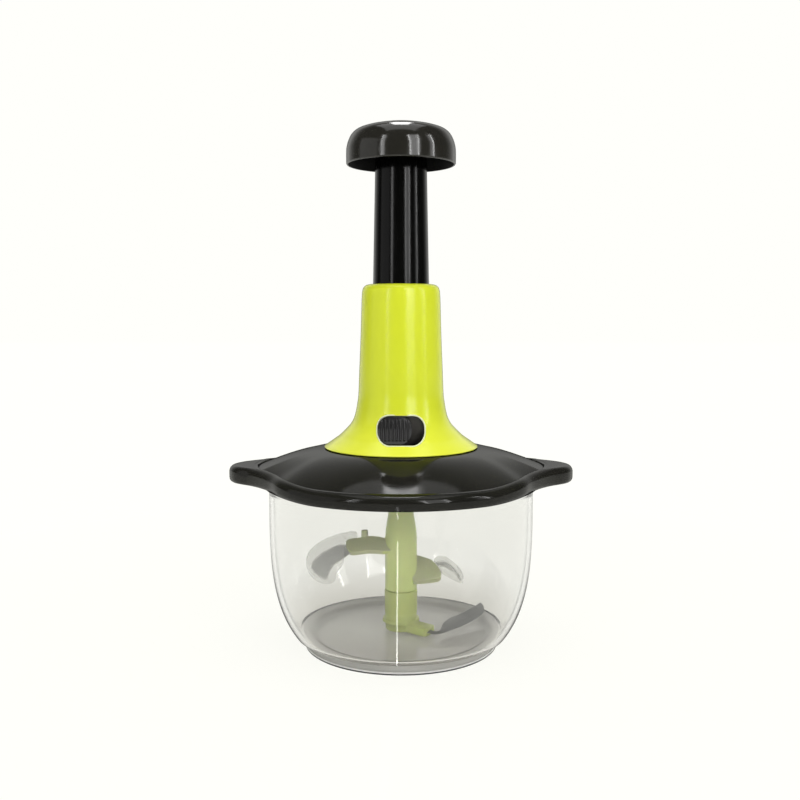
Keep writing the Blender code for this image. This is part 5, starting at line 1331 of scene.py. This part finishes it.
class CHOPPER_OT_screws(bpy.types.Operator):
    """Makes the cross-headed screws that hold the collar from below"""

    bl_idname = "chopper.screws"
    bl_label = "Collar screws"

    def execute(self, context):
        profile = [
            (0, 0.1160), (0.0011, 0.1160), (0.0015, 0.1154), (0.0015, 0.1071), (0.0029, 0.1071),
            (0.0029, 0.1062), (0.0024, 0.1055), (0.0012, SCREW_HEAD), (0, SCREW_HEAD),
        ]
        one = turned("one_screw", profile, "steel", 32)
        for turn in (0, 90):
            place = Matrix.Translation((0, 0, SCREW_HEAD)) @ Matrix.Rotation(math.radians(turn), 4, "Z")
            cut = slab(rectangle(-0.0017, -0.0003, 0.0017, 0.0003), 0.0016)
            combined(one, piece_from(cut, "slot", "steel", place), "DIFFERENCE")
        values = {
            "Count": 3, "Circle": SCREW_CIRCLE, "Turn": math.radians(90), "Screw": one,
            "Finish": FINISHES["steel"],
        }
        screws = grown_by_nodes("collar_screw_set", screw_tree(), values, "steel")
        bpy.data.objects.remove(one)
        settle(screws, "lid", "steel", "collar_screw_1", "collar_screw_2", "collar_screw_3")
        return {"FINISHED"}


class CHOPPER_OT_spring(bpy.types.Operator):
    """Makes the return spring, its turns closed up at each end"""

    bl_idname = "chopper.spring"
    bl_label = "Return spring"

    def execute(self, context):
        low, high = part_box("return_spring")
        wire, turns, closed_turns, closed_pitch, steps = 0.0006, 6.5, 0.9, 2.1, 32
        first, last = low[2] + wire, high[2] - wire
        closed_rise = closed_turns * closed_pitch * wire
        open_rise = (last - first) / 2 - closed_rise
        rows = []
        count = int(turns * steps)
        for step in range(count + 1):
            turn = turns * step / count
            from_end = min(turn, turns - turn)
            rise = closed_rise * min(from_end / closed_turns, 1)
            rise += open_rise * max(from_end - closed_turns, 0) / (turns / 2 - closed_turns)
            height = first + rise if turn <= turns / 2 else last - rise
            outward = Vector((math.cos(math.tau * turn), math.sin(math.tau * turn), 0))
            middle = outward * (high[0] - wire) + Vector((0, 0, height))
            rows.append(hoop(middle, outward * wire, Vector((0, 0, wire)), 10))
        spring = skinned("return_coil", rows, "steel")
        settle(spring, "lid", "steel", "return_spring")
        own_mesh(spring)
        return {"FINISHED"}


class CHOPPER_OT_inner(bpy.types.Operator):
    """Gives the pieces inside their finishes"""

    bl_idname = "chopper.inner"
    bl_label = "Inner pieces"

    def execute(self, context):
        table = {
            "steel": (
                "pivot_pin", "spring_seat", "knob_screw", "stop_ring", "nut_pin_left", "nut_pin_right",
                "drive_spindle", "socket_clip", "lock_ball",
            ),
            "brass": ("rotor_bush", "lid_bearing"),
            "nylon": ("thrust_washer", "knob_plug", "drive_nut", "drive_socket"),
            "moulded": ("guide_tube", "guide_bush", "lock_track"),
            "seal": ("lid_seal",),
        }
        for finish, names in table.items():
            for name in names:
                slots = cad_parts[name].data.materials
                slots.clear()
                slots.append(FINISHES[finish])
        return {"FINISHED"}


# The stage

def lamp(name, place, target, width, height, power):
    """A soft window of light that faces the target."""
    data = bpy.data.lights.new(name, "AREA")
    data.shape = "RECTANGLE"
    data.size = width
    data.size_y = height
    data.energy = power
    made = linked(name, data)
    made.location = place
    made.rotation_euler = (Vector(target) - Vector(place)).to_track_quat("-Z", "Y").to_euler()
    made.visible_camera = False


def gloss_sheet(name, corners, strength):
    """A flat sheet on the stage whose glow only a glossy surface shows."""
    graph = Graph(name + "_light")
    glow = graph.add("ShaderNodeEmission", Color=(1, 1, 1, 1), Strength=strength).outputs["Emission"]
    graph.mixed(graph.ray("Is Glossy Ray"), graph.clear((1, 1, 1)), glow)
    mesh = bpy.data.meshes.new(name)
    mesh.from_pydata(corners, [], [(0, 1, 2, 3)])
    mesh.materials.append(graph.material)
    linked(name, mesh)


def gloss_panel(name, place, target, width, height, strength, aside=0.0):
    """An upright gloss sheet that faces the target, moved aside."""
    place, target = Vector(place), Vector(target)
    away = (target - place).normalized()
    side = away.cross(Vector((0, 0, 1))).normalized()
    rise = side.cross(away)
    middle = place + side * aside + away * 0.01
    corners = [
        middle + side * width / 2 * across + rise * height / 2 * up
        for across, up in ((-1, -1), (1, -1), (1, 1), (-1, 1))
    ]
    gloss_sheet(name, corners, strength)


def gloss_strip():
    """A thin light on the floor in front, seen in gloss as a line down the bowl."""
    corners = []
    for distance, sides in ((STRIP_NEAR, (-1, 1)), (STRIP_FAR, (1, -1))):
        middle = -0.00215 - 0.046 * (distance - STRIP_NEAR)
        half = 0.00035 + 0.0085 * (distance - STRIP_NEAR)
        corners += [(middle + side * half, -distance, 0.002) for side in sides]
    gloss_sheet("floor_strip", corners, 9.0)


def shown_rays(tree):
    """One for a ray that shows the background: seen directly, in gloss or through glass."""
    ray = add_node(tree, "ShaderNodeLightPath").outputs
    total = ray["Is Camera Ray"]
    for name in ("Is Glossy Ray", "Is Transmission Ray"):
        total = add_node(tree, "ShaderNodeMath", total, ray[name], operation="MAXIMUM").outputs[0]
    return total


def stage_floor(pale):
    """The pale floor, which shows as the background but for the object's shadow."""
    shape = bmesh.new()
    bmesh.ops.create_grid(shape, x_segments=8, y_segments=8, size=6)
    mesh = bpy.data.meshes.new("floor")
    shape.to_mesh(mesh)
    shape.free()
    graph = Graph("floor_finish")
    graph.set(Base_Color=(*pale, 1), Roughness=0.9)
    colour = (pale[0], pale[1], pale[2] * 0.98, 1)
    glow = graph.add("ShaderNodeEmission", Color=colour, Strength=1.035).outputs["Emission"]
    # only the floor near the object takes its shadow, so no horizon shows
    away = graph.add("ShaderNodeVectorMath", graph.place, operation="LENGTH").outputs["Value"]
    share = graph.times(shown_rays(graph.tree), graph.spread(away, 0.88, 1.0, 0.14, 0.42))
    graph.mixed(share, graph.skin, glow)
    mesh.materials.append(graph.material)
    linked("floor", mesh)


def stage_world(settings, pale):
    """Even light, with the background for the rays that show it and a dimmer room in gloss."""
    world = bpy.data.worlds.new("studio")
    world.use_nodes = True
    tree = world.node_tree
    plain = tree.nodes["Background"]
    plain.inputs["Color"].default_value = (1, 1, 1, 1)
    plain.inputs["Strength"].default_value = settings.world_strength
    shown = add_node(tree, "ShaderNodeBackground", Color=(*pale, 1), Strength=1.0)
    mix = add_node(
        tree, "ShaderNodeMixShader", shown_rays(tree), plain.outputs["Background"],
        shown.outputs["Background"],
    )
    # in gloss, the backdrop is bright behind and the room in front of it is dim
    place = add_node(tree, "ShaderNodeTexCoord").outputs["Generated"]
    grade = add_node(
        tree, "ShaderNodeMapRange", Value=add_node(tree, "ShaderNodeSeparateXYZ", place).outputs["Y"],
        From_Min=0.25, From_Max=0.95, To_Min=settings.room_strength, To_Max=1.0,
    )
    grade.interpolation_type = "SMOOTHSTEP"
    room = add_node(tree, "ShaderNodeBackground", Color=(*pale, 1), Strength=grade.outputs["Result"])
    ray = add_node(tree, "ShaderNodeLightPath").outputs["Is Glossy Ray"]
    gloss = add_node(
        tree, "ShaderNodeMixShader", ray, mix.outputs["Shader"], room.outputs["Background"]
    )
    tree.links.new(gloss.outputs["Shader"], tree.nodes["World Output"].inputs["Surface"])
    return world


class CHOPPER_OT_stage(bpy.types.Operator):
    """Sets the pale floor, the soft lights, the world and the camera"""

    bl_idname = "chopper.stage"
    bl_label = "Stage"

    def execute(self, context):
        settings = context.scene.chopper_stage
        scene = context.scene
        pale = tuple(settings.background)
        stage_floor(pale)
        scene.world = stage_world(settings, pale)
        lamp("window_right", RIGHT, AIM, 0.42, 1.0, settings.window_power)
        lamp("window_left", LEFT, AIM, 0.16, 1.0, settings.window_power * 0.5)
        lamp("window_side", SIDE, AIM, 0.20, 1.0, settings.window_power * 0.3)
        lamp("top_soft", (0.0, -0.1, 1.5), (0, 0, 0.1), 1.2, 1.2, settings.top_power)
        gloss_panel("frame_right_a", RIGHT, AIM, 0.05, 1.0, 21, -0.21)
        gloss_panel("frame_right_b", RIGHT, AIM, 0.05, 1.0, 21, 0.21)
        gloss_panel("frame_left", LEFT, AIM, 0.04, 1.0, 14, -0.08)
        gloss_panel("frame_side", SIDE, AIM, 0.05, 1.0, 18, 0.10)
        gloss_panel("room_left", (-0.95, -0.31, 0.30), (0, 0, 0.20), 0.80, 1.0, 0.7)
        gloss_panel("top_glow", (0.0, 0.30, 1.25), (0, 0, 0.28), 0.26, 0.50, 16)
        gloss_strip()

        camera = bpy.data.cameras.new("camera")
        camera.sensor_width = SENSOR_MM
        camera.lens = SENSOR_MM * FOCAL_PX / PHOTO_WIDTH_PX
        camera.clip_start = 0.01
        made = linked("camera", camera)
        made.location = CAMERA_PLACE
        made.rotation_euler = (math.radians(90) - math.atan(HORIZON_RISE_PX / FOCAL_PX), 0, 0)
        scene.camera = made
        scene.view_settings.view_transform = "Standard"
        return {"FINISHED"}


# Panel and order of work

PIECES = (
    CHOPPER_OT_bowl, CHOPPER_OT_foot, CHOPPER_OT_rotor, CHOPPER_OT_blades, CHOPPER_OT_guards,
    CHOPPER_OT_lid, CHOPPER_OT_collar, CHOPPER_OT_lock, CHOPPER_OT_column, CHOPPER_OT_knob,
    CHOPPER_OT_screws, CHOPPER_OT_spring, CHOPPER_OT_inner, CHOPPER_OT_stage,
)
GROUPS = {"bowl": BowlSettings, "lid": LidSettings, "collar": CollarSettings, "stage": StageSettings}


class CHOPPER_PT_pieces(bpy.types.Panel):
    """Lists the settings and pieces"""

    bl_label = "Press chopper"
    bl_idname = "CHOPPER_PT_pieces"
    bl_space_type = "VIEW_3D"
    bl_region_type = "UI"
    bl_category = "Chopper"

    def draw(self, context):
        layout = self.layout
        for group in GROUPS:
            settings = getattr(context.scene, "chopper_" + group)
            box = layout.box()
            for name in settings.__annotations__:
                box.prop(settings, name)
        for piece in PIECES:
            layout.operator(piece.bl_idname)


CLASSES = (*GROUPS.values(), *PIECES, CHOPPER_PT_pieces)


def register():
    for part in CLASSES:
        bpy.utils.register_class(part)
    for name, group in GROUPS.items():
        setattr(bpy.types.Scene, "chopper_" + name, bpy.props.PointerProperty(type=group))


def unregister():
    for name in GROUPS:
        delattr(bpy.types.Scene, "chopper_" + name)
    for part in reversed(CLASSES):
        bpy.utils.unregister_class(part)


def main():
    register()
    FINISHES.update(make_finishes())
    bpy.ops.chopper.bowl()
    bpy.ops.chopper.foot()
    bpy.ops.chopper.rotor()
    bpy.ops.chopper.blades()
    bpy.ops.chopper.guards()
    bpy.ops.chopper.lid()
    bpy.ops.chopper.collar()
    bpy.ops.chopper.lock()
    bpy.ops.chopper.column()
    bpy.ops.chopper.knob()
    bpy.ops.chopper.screws()
    bpy.ops.chopper.spring()
    bpy.ops.chopper.inner()
    bpy.ops.chopper.stage()


if __name__ == "__main__":
    main()
